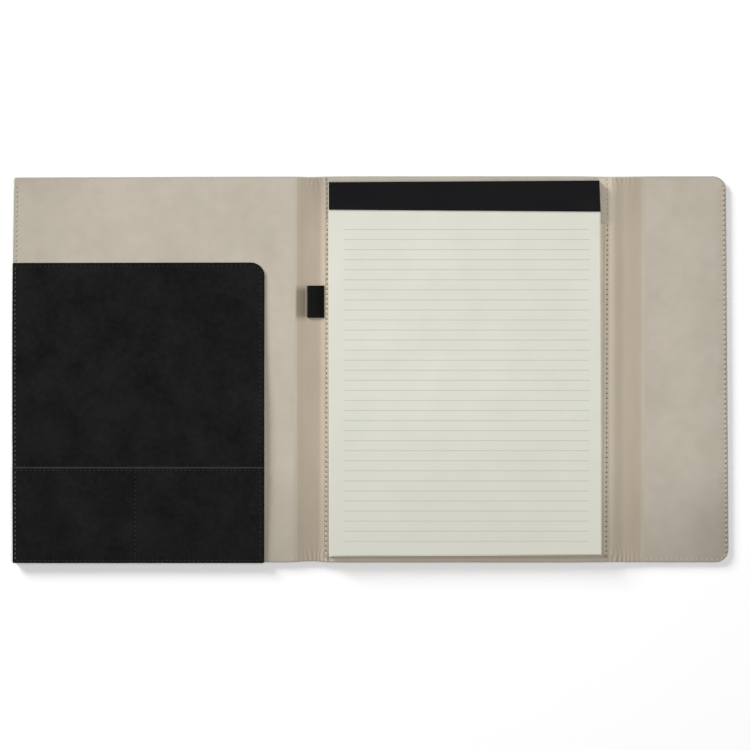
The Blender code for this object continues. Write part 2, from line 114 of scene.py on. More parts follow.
FLAP_BOLD, FLAP_FOOT_BOLD = 1.4, 0.24
LEFT_BOLD, RIGHT_BOLD = 6.0, 1.9
THREAD, SKIN_THREAD, SKIN_THREAD_LEVEL = 0.00026, 0.00018, 0.00034
THREAD_RISE, THREAD_SINK, THREAD_SLANT = 0.00016, 0.00045, 0.00030
THREAD_RINGS, THREAD_SIDES, THREAD_GAP = 7, 6, 0.21
THREAD_BURIED, THREAD_DIVE = 1.1, 5

# Linings and skins. A swell is a height and a width
FRONT_SWELL, BACK_SWELL, FLAP_SWELL = (0.00010, 0.04), (0.00010, 0.05), (0.00012, 0.035)
FOLD_FALL, FOLD_FALL_REACH = 0.0001, 0.0012
SKIN_CREASE, SKIN_CREASE_WIDTH = 0.00012, 0.0012
SKIN_ROWS, SKIN_ROW_STEP, SKIN_ROW_PITCH = 0.006, 0.001, 0.004
BEND_NEAR, BEND_FAR, SKIN_BEND = 0.0020, 0.0035, 0.0040

# Channels: the suede of the spine and the gusset hangs in a shallow valley between its crests
SPINE_EDGE, SPINE_VALLEY, SPINE_CREST = 0.00485, 0.0045, 0.0053
X_SPINE_SUEDE = (FRONT[1].x - 0.0008, SLEEVE[0].x + 0.0002)
X_SPINE_BROW, X_SPINE_LOW, X_SPINE_RISE = FRONT[1].x + 0.0006, X_COVER_FOLD + 0.0070, X_SPINE_FOLD - 0.0015
GUSSET_CREST, GUSSET_VALLEY, GUSSET_LIFT, GUSSET_TUCK = 0.0054, 0.0043, 0.0003, 0.0003
X_GUSSET_SUEDE = (SLEEVE[1].x - 0.0004, FLAP[0].x + 0.0023)
X_GUSSET_BROW, X_GUSSET_LOW = X_GUSSET_FOLD - 0.0016, X_MID_GUSSET - 0.0020
Y_LIFT_END = (SLEEVE[1].y - 0.008, SLEEVE[1].y)
CREASE_DEPTH, CREASE_WIDTH, CREASE_ASIDE, CREASE_LEAN = 0.00006, 0.0009, 0.0010, 0.0008
PUCKER_REACH, PUCKER_WIDTH, PUCKER_HEIGHT, PUCKER_PALE = 0.0085, 0.0034, 0.00055, 0.6
PUCKER_LEAST, PUCKER_HEAD, PUCKER_STRAY, PUCKER_STRAY_SIZE = 0.25, 0.5, 0.9, 0.009
PUCKER_VARIES, PUCKER_VARIES_SIZE, HEAD_SEED, STRENGTH_SEED = 0.3, 0.006, 7.0, 3.0
CHANNEL_STEP, CHANNEL_PITCH, CHANNEL_END, LOOP_PITCH = 0.0006, 0.003, 0.016, 0.0002

# Pockets, sleeve and pen loop
X_DIVIDER, DIVIDER_REACH = -0.186, 0.0045
POCKET_LOWER, POCKET_ROOM = 0.00045, 0.0002
POCKET_RISE, POCKET_MOUTH, MOUTH_FALL = (0.003, 0.016), 0.02, 0.55
POCKET_SWELL, POCKET_SWELL_SIZE, MOUTH_HIGHLIGHT_REACH = 0.00008, 0.03, 0.0006
STAND_LEAST, STAND_MOST, STAND_PLACE, STAND_REACH = 0.0006, 0.0025, -0.050, 0.060
STAND_FALL = (0.0015, 0.0060)
SLEEVE_TUCK, RIGHT_TUCK, TUCK_EDGE = 0.0008, 0.0005, (0.0004, 0.0010)
SLEEVE_OVER, SLEEVE_START = 0.00005, 0.0015
CARD_LEFT, CARD_RIGHT, CARD_FOOT = (0.0018, 0.0032), (0.0036, 0.0050), (0.0031, 0.0046)
CARD_ROW_STEP, CARD_ROW_PITCH, CARD_ROW_MARGIN = 0.0003, 0.003, 0.0002
X_SLEEVE_RISE = (SLEEVE[1].x - 0.02, SLEEVE[1].x - 0.006)
X_LOOP_TIP, LOOP_STEP, LOOP_PRESS = LOOP[0].x + 0.0012, 0.0008, 0.0002
LOOP_HEIGHT, LOOP_BAND, LOOP_GRID, LOOP_ROWS = 0.0036, 0.0007, 0.0009, 0.0010
LOOP_SAG, LOOP_LAP, LOOP_TUCK, LOOP_ARC = 0.00025, 0.0006, 0.004, 12
LOOP_BEND, RIB_PITCH, PICK_PITCH = (-0.002, -0.003), 0.0011, 0.0006

# Marks on the suede: painted shade at the free edges, towards the foot where the light falls off, at the
# channels' heads, around the pad and beside the pen loop; painted light on the crests, the puckers and in
# the pad's shadow; a paler band beside the front's fold
SHADE_SIDE, SHADE_SIDE_REACH = 0.14, 0.05
SHADE_FLAP, X_SHADE_FLAP = 0.07, (FLAP[1].x - 0.033, FLAP[1].x - 0.018)
SHADE_BROW, SHADE_BROW_REACH, SHADE_BROW_WIDTH = 0.10, 0.035, 0.17
SHADE_FOOT, SHADE_CORNER, SHADE_FOOT_START = 0.34, 0.20, 0.06
SHADE_HEAD, SHADE_HEAD_REACH = 0.25, 0.06
SPINE_HEAD_LEFT, SPINE_HEAD_RIGHT, SPINE_HEAD_END, GUSSET_HEAD = 0.5, 1.1, 0.004, 0.6
FOLD_PALE, FOLD_PALE_REACH, Y_FOLD_PALE = 0.15, 0.03, (0.06, 0.13)
# Painted light in the pad's shadow beside its right edge
BESIDE_PALE, X_BESIDE = 0.5, (BLOCK[1].x - 0.004, BLOCK[1].x - 0.002)
# Painted shadow of the pad on the sleeve: under its foot, along the foot and in the gap left of it
SLEEVE_SHADE, SLEEVE_FOOT_SHADE, PAD_SHADE = 0.42, 0.32, 0.83
Y_FOOT_SHADE, PAD_SHADE_REACH, SLEEVE_SHADE_START = (CARD[0].y, CARD[0].y + 0.006), 0.0022, 0.05
X_GAP_LEFT = (X_LEFT_COLUMN + 0.0005, X_LEFT_COLUMN + 0.0010)
X_GAP_RIGHT = (BLOCK[0].x, BLOCK[0].x + 0.004)
# Painted light on the channels: highlights on the crests, and a paler gusset in the pad's shadow
GUSSET_PALE, SPINE_CREST_PALE, GUSSET_CREST_PALE = 0.19, 0.22, 0.45
X_SPINE_PALE, SPINE_CREST_REACH = X_SPINE_FOLD + 0.0012, 0.0024
X_GUSSET_PALE, GUSSET_CREST_REACH = X_GUSSET_FOLD - 0.0022, 0.0046
CREASE_TONE, X_SPINE_TONE = 0.0014, X_SPINE_FOLD + 0.0015
GUSSET_TONE_LEFT = (X_GUSSET_FOLD - 0.0015, X_GUSSET_FOLD + 0.0035)
GUSSET_TONE_RIGHT = (X_FLAP_FOLD - 0.0025, X_FLAP_FOLD + 0.0020)
# Painted shadow of the pen loop on the suede to its left
Y_LOOP_SHADOW_FOOT, Y_LOOP_SHADOW_HEAD = (LOOP[0].y - 0.003, LOOP[0].y + 0.003), (LOOP[1].y - 0.005, LOOP[1].y + 0.002)
X_LOOP_SHADOW_LEFT, X_LOOP_SHADOW_STOP = FRONT[1].x - 0.0002, (X_LOOP_TIP - 0.0024, X_LOOP_TIP - 0.0012)
LOOP_SHADOW_NEAR, LOOP_SHADOW_INNER, LOOP_SHADOW_STOP = 0.7, 0.3, 0.6

# Pad
PAD_MID = ((BLOCK[0].x + BLOCK[1].x) / 2, (BLOCK[0].y + BLOCK[1].y) / 2)
PAD_HALF = ((BLOCK[1].x - BLOCK[0].x) / 2, (BLOCK[1].y - BLOCK[0].y) / 2)
PAD_TILT, PAD_SHEAR, PAD_SHRINK, PAD_FAN = 0.0059, 0.0018, 0.0036, 0.0007
BLOCK_LAYERS, LAYER_SHARE, BLOCK_SEED = 15, 0.85, 12
LEFT_STRAY, RIGHT_STRAY, FOOT_STRAY = (-0.00010, 0.00015), (-0.00015, 0.00012), (-0.00010, 0.00020)
SHEET_INSET, SHEET_RISE, SHEET_HELD, PAPER_SHADE = 0.0008, 0.0002, 0.004, 0.34
SHEET_CURL, CURL_START = 0.0005, 0.4
SHEET_STEP, ROLL_STEP, ROLL_FAR, ROLL_NEAR = 0.008, 0.0012, 0.012, 0.011
ROLL_START, ROLL_END = 0.0015, 0.0095
RULE_PITCH, RULE_COUNT = 0.00795, 32
RULE_FIRST, RULE_LEFT, RULE_RIGHT = 0.1107, -0.0210, 0.1732
RULE_LINE, RULE_FADE, RULE_INK = 0.020, 0.050, 0.52
BINDING_LEAN, BINDING_SHORT, BINDING_LOW, BINDING_SLOPE = 0.0007, 0.0004, 0.0010, 0.0028
BINDING_FOLD, BINDING_STEP, BINDING_PITCH = 0.0009, 0.0004, 0.006

# Studio. A lamp has its share of the light, its direction, its distance and its size
AMBIENT = 0.13
LAMPS = {
    "key": (0.40, (-0.639, 0.639, 0.41), 4.0, 1.5),
    "overhead": (0.47, (0.12, -0.05, 1.0), 2.2, 1.0),
}
FLOOR_GREY, FLOOR_SEEN, FLOOR_HALF, FLOOR_DROP = 0.75, 1.12, 4.0, 0.0002
VIEW_CENTRE, SENSOR = (0.00380, -0.00432), 36.0
VIEW_HEIGHT, VIEW_WIDTH, VIEW_LEVEL = 2.5, 0.5944, 0.005


def smooth(value):
    """A rise from 0 to 1 with level ends."""
    share = min(max(value, 0.0), 1.0)
    return share * share * (3.0 - 2.0 * share)


def between(value, start, end):
    """A smooth rise from 0 at start to 1 at end."""
    return smooth((value - start) / (end - start))


def bell(value, middle, reach):
    """1 at the middle, falling to 0 on both sides of it."""
    return math.exp(-(((value - middle) / reach) ** 2))


def round_over(depth, radius):
    """How far a rounded rim lies below the flat, at a depth from the edge."""
    if depth >= radius:
        return 0.0
    return radius - math.sqrt(max(radius**2 - (radius - depth) ** 2, 0.0))


def ripple(x, y, size, seed=0.0):
    """Gentle unevenness from -1 to 1, with swells of a size."""
    return noise.noise(Vector((x / size, y / size, seed)))


def steps(start, end, step):
    """Even steps from start to end, about step apart."""
    count = max(1, round(abs(end - start) / step))
    return [start + (end - start) * i / count for i in range(count + 1)]


def rings_of(radius):
    """How far the rings of a rounded rim lie inside it."""
    return [radius * ring for ring in RIM_RINGS]


# Outlines and paths


class Panel:
    """A rounded rectangle between two corner points."""

    def __init__(self, low, high, radii):
        self.x0, self.y0 = low[0], low[1]
        self.x1, self.y1 = high[0], high[1]
        self.radii = radii

    def ring(self, inset, step):
        """The outline drawn in by inset, anticlockwise. Every inset gives as many points."""
        corners = (
            (self.x0, self.y0, 1, 1, 180),
            (self.x1, self.y0, -1, 1, 270),
            (self.x1, self.y1, -1, -1, 0),
            (self.x0, self.y1, 1, -1, 90),
        )
        arcs = []
        for (x, y, right, up, start), corner in zip(corners, self.radii):
            radius = max(corner - inset, SHARP)
            centre = Vector((x + right * (inset + radius), y + up * (inset + radius)))
            angles = [math.radians(start + 90 * i / TURN) for i in range(TURN + 1)]
            arcs.append([centre + radius * Vector((math.cos(a), math.sin(a))) for a in angles])
        sides = (self.x1 - self.x0, self.y1 - self.y0) * 2
        points = []
        for arc, following, side in zip(arcs, arcs[1:] + arcs[:1], sides):
            count = max(2, round(side / step))
            points += arc
            points += [arc[-1].lerp(following[0], i / count) for i in range(1, count)]
        return points

    def depth(self, x, y):
        """How far a point is inside the outline."""
        across, along = x - (self.x0 + self.x1) / 2, y - (self.y0 + self.y1) / 2
        lower_left, lower_right, upper_right, upper_left = self.radii
        left, right = (upper_left, upper_right) if along > 0 else (lower_left, lower_right)
        radius = right if across > 0 else left
        beyond_x = abs(across) - (self.x1 - self.x0) / 2 + radius
        beyond_y = abs(along) - (self.y1 - self.y0) / 2 + radius
        corner = math.hypot(max(beyond_x, 0.0), max(beyond_y, 0.0))
        return radius - corner - min(max(beyond_x, beyond_y), 0.0)


COVER = Panel(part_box("front_outer")[0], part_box("flap_outer")[1], COVER_RADII)
LINED = Panel(FRONT[0], FLAP[1], COVER_RADII)


def cover_lay(x, y):
    """Where a point of the cover lies: its soft outline isn't quite square."""
    across, along = x / COVER.x1, y / COVER.y1
    spread, droop, spine_dip, gusset_dip = LAY_HEAD if along > 0 else LAY_FOOT
    spread -= droop * max(-across, 0.0)
    spread -= spine_dip * bell(x, SPINE_DIP, SPINE_DIP_REACH)
    spread -= gusset_dip * bell(x, GUSSET_DIP, GUSSET_DIP_REACH)
    bow = max(-across, 0.0) * (LAY_BOW * along**2 + LAY_CURL * along**3 - LAY_OUT)
    outer = between(x, X_GUSSET_FOLD, COVER.x1)
    inner = between(x, X_COVER_FOLD - LEAN_REACH, X_COVER_FOLD) - outer
    lean = along * (INNER_LEAN * inner - OUTER_LEAN * outer) - LAY_OUT * outer
    return x + bow + lean, y + along * spread


def laid(points):
    """Points of the cover as they lie."""
    return [(*cover_lay(x, y), z) for x, y, z in points]


def route(corners, radius=0.0):
    """A path through corner points, with each inner corner rounded."""
    points = [Vector(corners[0])]
    for before, corner, after in zip(corners, corners[1:], corners[2:]):
        corner = Vector(corner)
        start = corner + radius * (Vector(before) - corner).normalized()
        end = corner + radius * (Vector(after) - corner).normalized()
        for i in range(TURN + 1):
            share = i / TURN
            points.append(start.lerp(corner, share).lerp(corner.lerp(end, share), share))
    points.append(Vector(corners[-1]))
    return points


def spaced(path, pitch):
    """Even points along a path, about pitch apart, with both of its ends."""
    lengths = [(b - a).length for a, b in zip(path, path[1:])]
    total = sum(lengths)
    count = max(1, round(total / pitch))
    points, stretch, passed = [], 0, 0.0
    for i in range(count + 1):
        target = total * i / count
        while stretch < len(lengths) - 1 and passed + lengths[stretch] < target:
            passed += lengths[stretch]
            stretch += 1
        share = (target - passed) / max(lengths[stretch], 1e-9)
        points.append(path[stretch].lerp(path[stretch + 1], min(share, 1.0)))
    return points


def rows_beside(path, offsets, step):
    """Points in fine rows along a path, for the dents of a seam."""
    line = spaced(path, step)
    rows = []
    for before, point, after in zip(line, line[1:], line[2:]):
        along = (after - before).normalized()
        across = Vector((-along.y, along.x))
        rows += [point + across * offset for offset in offsets]
    return rows


def tree_of(points):
    """A search tree over points in plan."""
    tree = kdtree.KDTree(len(points))
    for i, point in enumerate(points):
        tree.insert((point.x, point.y, 0.0), i)
    tree.balance()
    return tree


class Seam:
    """A row of stitches along a path in plan. bold gives how plainly the hole at a point shows."""

    def __init__(self, path, pitch=STITCH, bold=lambda hole: 1.0, step=FINE_STEP, rows=SEAM_ROWS):
        self.rows = rows_beside(path, rows, step)
        self.line = spaced(path, FINE_STEP)
        self.holes = spaced(path, pitch)
        self.bold = [bold(hole) for hole in self.holes]


def edge_bold(hole):
    """Stitches along the cover's edge: hardly seen at its head, plain at its sides."""
    if hole.y > LINED.y1 - 2 * SEAM_INSET:
        return HEAD_BOLD
    if hole.y < LINED.y0 + 2 * SEAM_INSET:
        return FLAP_FOOT_BOLD if hole.x > FLAP[0].x else FOOT_BOLD
    return SIDE_BOLD if hole.x < FLAP[0].x else FLAP_BOLD


def column_bold(hole):
    """Stitches beside the pad, with large dark holes through the sleeve."""
    if hole.y < LINED.y0 + 2 * SEAM_INSET:
        return FOOT_BOLD
    if hole.y > SLEEVE[1].y:
        return SIDE_BOLD
    return LEFT_BOLD if hole.x < 0 else RIGHT_BOLD


def column_seam(corners):
    """A seam beside the pad, in a finer mesh."""
    return Seam(route(corners), STITCH, column_bold, COLUMN_STEP, COLUMN_ROWS)


def end_seams(panel, start, end, **kinds):
    """Seams along the foot and the head of a panel, from start to end."""
    ends = (panel.y0 + SEAM_INSET, panel.y1 - SEAM_INSET)
    return [Seam(route([(start, y), (end, y)]), **kinds) for y in ends]


def edge_seam(panel, open_x, **kinds):
    """A seam from an inner x along the three free edges of the front, or of the flap."""
    front = open_x < X_MID_BACK
    near = panel.x0 + FRONT_INSET if front else panel.x1 - FLAP_INSET
    low, high = panel.y0 + SEAM_INSET, panel.y1 - SEAM_INSET
    corners = [(open_x, high), (near, high), (near, low), (open_x, low)]
    return Seam(route(corners, SEAM_TURN if front else FLAP_CORNER - SEAM_INSET), **kinds)


def rows_for(seams):
    """Fine rows along seams."""
    return [point for seam in seams for point in seam.rows]


# Meshes


def mesh_piece(name, points, faces, material, rest=None, marks=None, flat=False):
    """An object from points and faces, with its rest places and its marks as attributes.

    A mark is a list of shares, or a function that gives the share at a rest place.
    """
    rest = rest or points
    mesh = bpy.data.meshes.new(name)
    mesh.from_pydata(points, [], faces)
    places = mesh.attributes.new("rest", "FLOAT_VECTOR", "POINT")
    places.data.foreach_set("vector", [value for point in rest for value in point])
    for mark, shares in (marks or {}).items():
        if callable(shares):
            shares = [shares(x, y) for x, y, _ in rest]
        mesh.attributes.new(mark, "FLOAT", "POINT").data.foreach_set("value", shares)
    if not flat:
        mesh.shade_smooth()
    mesh.materials.append(material)
    piece = bpy.data.objects.new(name, mesh)
    bpy.context.scene.collection.objects.link(piece)
    return piece


def thicken(piece, thickness, offset=-1.0):
    """Gives a flat-lying sheet its thickness, below its surface unless offset says otherwise."""
    solid = piece.modifiers.new("thickness", "SOLIDIFY")
    solid.thickness = thickness
    solid.offset = offset
    solid.use_even_offset = True
    graph = bpy.context.evaluated_depsgraph_get()
    thin = piece.data
    piece.data = bpy.data.meshes.new_from_object(piece.evaluated_get(graph), depsgraph=graph)
    piece.modifiers.clear()
    bpy.data.meshes.remove(thin)
    piece.data.name = piece.name
    return piece


def pressed(plan, height, seams, side=1):
    """Points of a surface over a plan with seams pressed into one side, and the shades of their holes."""
    holes = tree_of([hole for seam in seams for hole in seam.holes])
    bold = [share for seam in seams for share in seam.bold]
    lines = tree_of([point for seam in seams for point in seam.line])
    points, shades = [], []
    for x, y in plan:
        _, nearest, aside = holes.find((x, y, 0.0))
        hole = min(1.0, bold[nearest] * bell(aside, 0.0, HOLE_WIDTH))
        groove = min(1.0, bold[nearest]) * bell(lines.find((x, y, 0.0))[2], 0.0, GROOVE_WIDTH)
        points.append((x, y, height(x, y) - side * (HOLE_DEPTH * hole + GROOVE_DEPTH * groove)))
        shades.append(hole)
    return points, shades


def fill(panel, insets, spacing, rows=()):
    """Points and faces of a panel: fine rings at the insets, then rows and a loose grid inside."""
    rings = [panel.ring(inset, FINE_STEP) for inset in insets]
    count = len(rings[0])
    points = [point for ring in rings for point in ring]
    faces = []
    for level in range(len(rings) - 1):
        outer, inner = level * count, (level + 1) * count
        for i in range(count):
            j = (i + 1) % count
            faces.append((outer + i, outer + j, inner + j, inner + i))
    innermost = insets[-1]
    rows = [point for point in rows if panel.depth(*point) > innermost + FINE_STEP]
    near = tree_of(rings[-1] + rows)
    loose = []
    for y in steps(panel.y0, panel.y1, spacing):
        for x in steps(panel.x0, panel.x1, spacing):
            clear = near.find((x, y, 0.0))[2] > GRID_CLEAR * spacing
            if clear and panel.depth(x, y) > innermost:
                loose.append(Vector((x, y)))
    inside = rings[-1] + rows + loose
    border = [(i, (i + 1) % count) for i in range(count)]
    _, _, triangles, origins, _, _ = geometry.delaunay_2d_cdt(inside, border, [], 1, 1e-7)
    first = len(points) - count
    points += rows + loose
    faces += [[first + origins[corner][0] for corner in triangle] for triangle in triangles]
    return points, faces, count


def rim_share(outline, x, y):
    """1 at an outline, falling to 0 just inside it."""
    return 1.0 - between(outline.depth(x, y), *RIM_FADE)


def soft_sheet(name, panel, rim, height, material, seams, foot, thickness, outline, marks, more_rows=()):
    """A sheet over a panel. Seams press into it, and where foot gives a height its rim turns down."""
    plan, faces, count = fill(panel, rings_of(rim), SHEET_GRID, rows_for(seams) + list(more_rows))
    points, holes = pressed(plan, height, seams)
    skirt = {}
    for i, (x, y) in enumerate(plan[:count]):
        low = foot(x, y)
        if low is not None:
            skirt[i] = len(points)
            points.append((x, y, low))
            holes.append(0.0)
    for i in range(count):
        j = (i + 1) % count
        if i in skirt and j in skirt:
            faces.append((skirt[i], skirt[j], j, i))
    marks = {"hole": holes, "rim": lambda x, y: rim_share(outline, x, y), **marks}
    return thicken(mesh_piece(name, laid(points), faces, material, points, marks), thickness)


def guarded(values):
    """Values with one more just inside each end, so that shading stays flat up to a cut edge."""
    first, last = values[0], values[-1]
    inward = math.copysign(GUARD, last - first)
    return [first, first + inward] + values[1:-1] + [last - inward, last]


def grid_faces(width, height):
    """Faces of a grid of points, row by row."""
    faces = []
    for row in range(height - 1):
        for column in range(width - 1):
            i = row * width + column
            faces.append((i, i + 1, i + width + 1, i + width))
    return faces


def over(first, second, fold, before, after):
    """The two bodies on each side of a fold and the span around it, for a piece that crosses it."""
    return first, second, (fold - before, 0.0, 0.0), (fold + after, 0.0, 0.0)


def fit(piece, carrier, slot, *nodes):
    """Rides a piece on the body that a name gives, or else keeps it where it lies; hides the CAD nodes it
    stands in for. slot is not used.
    """
    if isinstance(carrier, str):
        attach(piece, carrier)
    else:
        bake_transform(piece)
    if nodes:
        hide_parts(*nodes)


def sew(name, seams, surface, material, carrier, slot, side=1, radius=THREAD):
    """One short tube for each stitch, from hole to hole. Faint ones lie lower, and the faintest show
    only their holes."""
    points, faces = [], []
    angles = [2 * math.pi * i / THREAD_SIDES for i in range(THREAD_SIDES)]
    for seam in seams:
        for first, second, bold in zip(seam.holes, seam.holes[1:], seam.bold):
            if bold < FAINT:
                continue
            along = (second - first).normalized()
            across = Vector((-along.y, along.x))
            plain = min(bold, 1.0)
            sunk = THREAD_BURIED * radius * (1.0 - plain)
            start = len(points)
            for ring in range(THREAD_RINGS + 1):
                share = ring / THREAD_RINGS
                at = first.lerp(second, THREAD_GAP + (1 - 2 * THREAD_GAP) * share)
                at += across * THREAD_SLANT * (0.5 - share)
                arch = plain * THREAD_RISE * math.sin(math.pi * share)
                arch -= THREAD_SINK * abs(2 * share - 1) ** THREAD_DIVE
                z = surface(at.x, at.y) + side * (arch - sunk)
                for angle in angles:
                    aside = across * radius * math.cos(angle)
                    points.append((at.x + aside.x, at.y + aside.y, z + radius * math.sin(angle)))
            for ring in range(THREAD_RINGS):
                low, high = start + ring * THREAD_SIDES, start + (ring + 1) * THREAD_SIDES
                for i in range(THREAD_SIDES):
                    j = (i + 1) % THREAD_SIDES
                    faces.append((low + i, high + i, high + j, low + j))
            faces.append(tuple(range(start, start + THREAD_SIDES)))
            last = start + THREAD_RINGS * THREAD_SIDES
            faces.append(tuple(reversed(range(last, last + THREAD_SIDES))))
    fit(mesh_piece(name, laid(points), faces, material), carrier, slot)


# Materials


def srgb(red, green, blue):
    """A colour of the photograph's scale as linear light."""
    def linear(value):
        share = value / 255.0
        return share / 12.92 if share <= 0.04045 else ((share + 0.055) / 1.055) ** 2.4
    return (linear(red), linear(green), linear(blue), 1.0)


# Colour sockets of the mix node
MIX_FIRST, MIX_SECOND, MIX_COLOUR = 6, 7, 2


class Nodes:
    """The nodes of a material or of a world."""

    def __init__(self, owner):
        owner.use_nodes = True
        self.nodes, self.links = owner.node_tree.nodes, owner.node_tree.links

    def join(self, value, socket):
        """Sets a socket to a number or colour, or links an output to it."""
        if isinstance(value, bpy.types.NodeSocket):
            self.links.new(value, socket)
        else:
            socket.default_value = value

    def add(self, kind, output, inputs, **settings):
        """An output of a new node with inputs that are set or linked."""
        node = self.nodes.new("ShaderNode" + kind)
        for name, value in settings.items():
            setattr(node, name, value)
        for socket, value in inputs.items():
            self.join(value, node.inputs[socket])
        return node.outputs[output]

    def math(self, operation, first, second=0.0):
        return self.add("Math", 0, {0: first, 1: second}, operation=operation)

    def spread(self, value, low, high, start=0.0, end=1.0):
        """Maps a value from low and high to start and end."""
        ends = {"From Min": low, "From Max": high, "To Min": start, "To Max": end}
        return self.add("MapRange", "Result", {"Value": value, **ends})

    def background(self, lit, seen):
        """seen for rays that look at the background, straight or by reflection, and lit for others."""
        path = self.nodes.new("ShaderNodeLightPath")
        looks = path.outputs["Is Camera Ray"]
        for ray in ("Is Glossy Ray", "Is Transmission Ray"):
            looks = self.math("MAXIMUM", looks, path.outputs[ray])
        return self.spread(looks, 0.0, 1.0, lit, seen)


class Shader(Nodes):
    """A material. Its patterns follow the rest places of a piece, or a CAD node's own mesh."""

    def __init__(self, name, roughness, specular, cad=False):
        self.material = bpy.data.materials.new(name)
        super().__init__(self.material)
        self.surface = self.nodes["Principled BSDF"].inputs
        self.surface["Roughness"].default_value = roughness
        self.surface["Specular IOR Level"].default_value = specular
        self.places = self.add("TexCoord", "Object", {}) if cad else self.attribute("rest", "Vector")

    def attribute(self, name, output="Fac"):
        return self.add("Attribute", output, {}, attribute_name=name)

    def scaled(self, *sizes):
        """The places in units of three sizes."""
        scale = [1.0 / size for size in sizes]
        return self.add("Mapping", "Vector", {"Vector": self.places, "Scale": scale})

    def grain(self, size, detail=2.0, stretch=(1.0, 1.0, 1.0), roughness=0.5):
        """Noise from 0 to 1 with spots of a size, drawn out along the axes by stretch."""
        places = self.scaled(*(size * share for share in stretch))
        inputs = {"Vector": places, "Scale": 1.0, "Detail": detail, "Roughness": roughness}
        return self.add("TexNoise", "Fac", inputs)

    def cells(self, size):
        """Pebbles of a size, from 0 at their middles."""
        inputs = {"Vector": self.scaled(size, size, size), "Scale": 1.0}
        return self.add("TexVoronoi", "Distance", inputs, feature="F1")

    def axis(self, name):
        """The places along one axis."""
        return self.add("SeparateXYZ", name, {0: self.places})

    def weigh(self, *parts):
        """The sum of outputs, each with its weight."""
        total = 0.0
        for output, weight in parts:
            total = self.math("ADD", self.math("MULTIPLY", output, weight), total)
        return total

    def mix(self, share, first, second):
        """A colour between two."""
        inputs = {"Factor": share, MIX_FIRST: first, MIX_SECOND: second}
        return self.add("Mix", MIX_COLOUR, inputs, data_type="RGBA")

    def mark(self, name, strength, colour, marked):
        """A colour that turns to another where a piece has a mark."""
        return self.mix(self.math("MULTIPLY", self.attribute(name), strength), colour, marked)

    def bump(self, height, strength, distance):
        inputs = {"Height": height, "Strength": strength, "Distance": distance}
        self.join(self.add("Bump", "Normal", inputs), self.surface["Normal"])

    def paint(self, colour, roughness=None):
        self.join(colour, self.surface["Base Color"])
        if roughness is not None:
            self.join(roughness, self.surface["Roughness"])
        return self.material


def suede_material(name, light, dark, streak=(1.0, 1.0, 1.0), beside=None):
    """Brushed suede cloth: clouds of nap, short fibres, a darker, greyer rim and stitch holes darkened with
    painted shade.

    Where a piece has the mark panel, its colours turn to the light and dark ones of beside.
    """
    shader = Shader(name, 0.95, 0.12)
    shader.surface["Sheen Weight"].default_value = 0.08
    shader.surface["Sheen Roughness"].default_value = 0.6
    clouds = shader.grain(0.045, 3.0, streak)
    brushed = shader.grain(0.009, 2.0, streak)
    fibres = shader.grain(0.0009, 2.0, (1.0, 1.6, 1.0))
    nap = shader.spread(shader.weigh((clouds, 0.55), (brushed, 0.30), (fibres, 0.15)), 0.33, 0.67)
    colour = shader.mix(nap, dark, light)
    if beside:
        colour = shader.mark("panel", 1.0, colour, shader.mix(nap, beside[1], beside[0]))
    # The pale mark: painted light on crests, puckers and in the pad's shadow, and a paler band beside the
    # front's fold
    colour = shader.mark("pale", 1.0, colour, srgb(226, 213, 192))
    # Painted shade: the shade mark darkens the suede towards the foot, at the edges and heads, and around
    # the pad
    colour = shader.mark("shade", 1.0, colour, srgb(135, 127, 114))
    # A darker, greyer rim along the outline
    colour = shader.mark("rim", 0.75, colour, srgb(163, 160, 144))
    # Painted shadow of the pen loop on the suede beside it
    colour = shader.mark("stain", 0.95, colour, srgb(106, 95, 78))
    # Painted shade in the stitch holes
    colour = shader.mark("hole", 0.95, colour, srgb(58, 50, 39))
    shader.bump(fibres, 0.35, 0.0002)
    return shader.paint(colour, shader.spread(fibres, 0.3, 0.7, 0.9, 1.0))


def leather_material(name, light, dark, pebble, specular):
    """Black leatherette: a mottled matte skin with a fine pebble grain, with a painted highlight along the
    card pocket's mouth.
    """
    shader = Shader(name, 0.7, specular)
    tone = shader.weigh((shader.grain(0.022, 4.0, roughness=0.6), 0.65), (shader.grain(0.004, 3.0), 0.35))
    colour = shader.mix(shader.spread(tone, 0.35, 0.65), dark, light)
    colour = shader.mark("rim", 0.5, colour, srgb(12, 12, 12))
    # Painted highlight along the rounded mouth of the card pocket
    colour = shader.mark("worn", 0.8, colour, srgb(66, 65, 63))
    # Painted shade in the stitch holes
    colour = shader.mark("hole", 0.9, colour, srgb(4, 4, 4))
    grain = shader.weigh((shader.cells(pebble), -0.7), (shader.grain(0.0006, 2.0), 0.5))
    shader.bump(grain, 0.4, 0.00025)
    return shader.paint(colour, shader.spread(tone, 0.3, 0.7, 0.78, 0.62))


def thread_material(name, light, dark):
    """Twisted sewing thread."""
    shader = Shader(name, 0.75, 0.2)
    twist = shader.grain(0.00035, 1.0, (1.0, 1.0, 2.5))
    tone = shader.weigh((twist, 0.6), (shader.grain(0.02, 2.0), 0.4))
    shader.bump(twist, 0.4, 0.0001)
    return shader.paint(shader.mix(shader.spread(tone, 0.35, 0.65), dark, light))


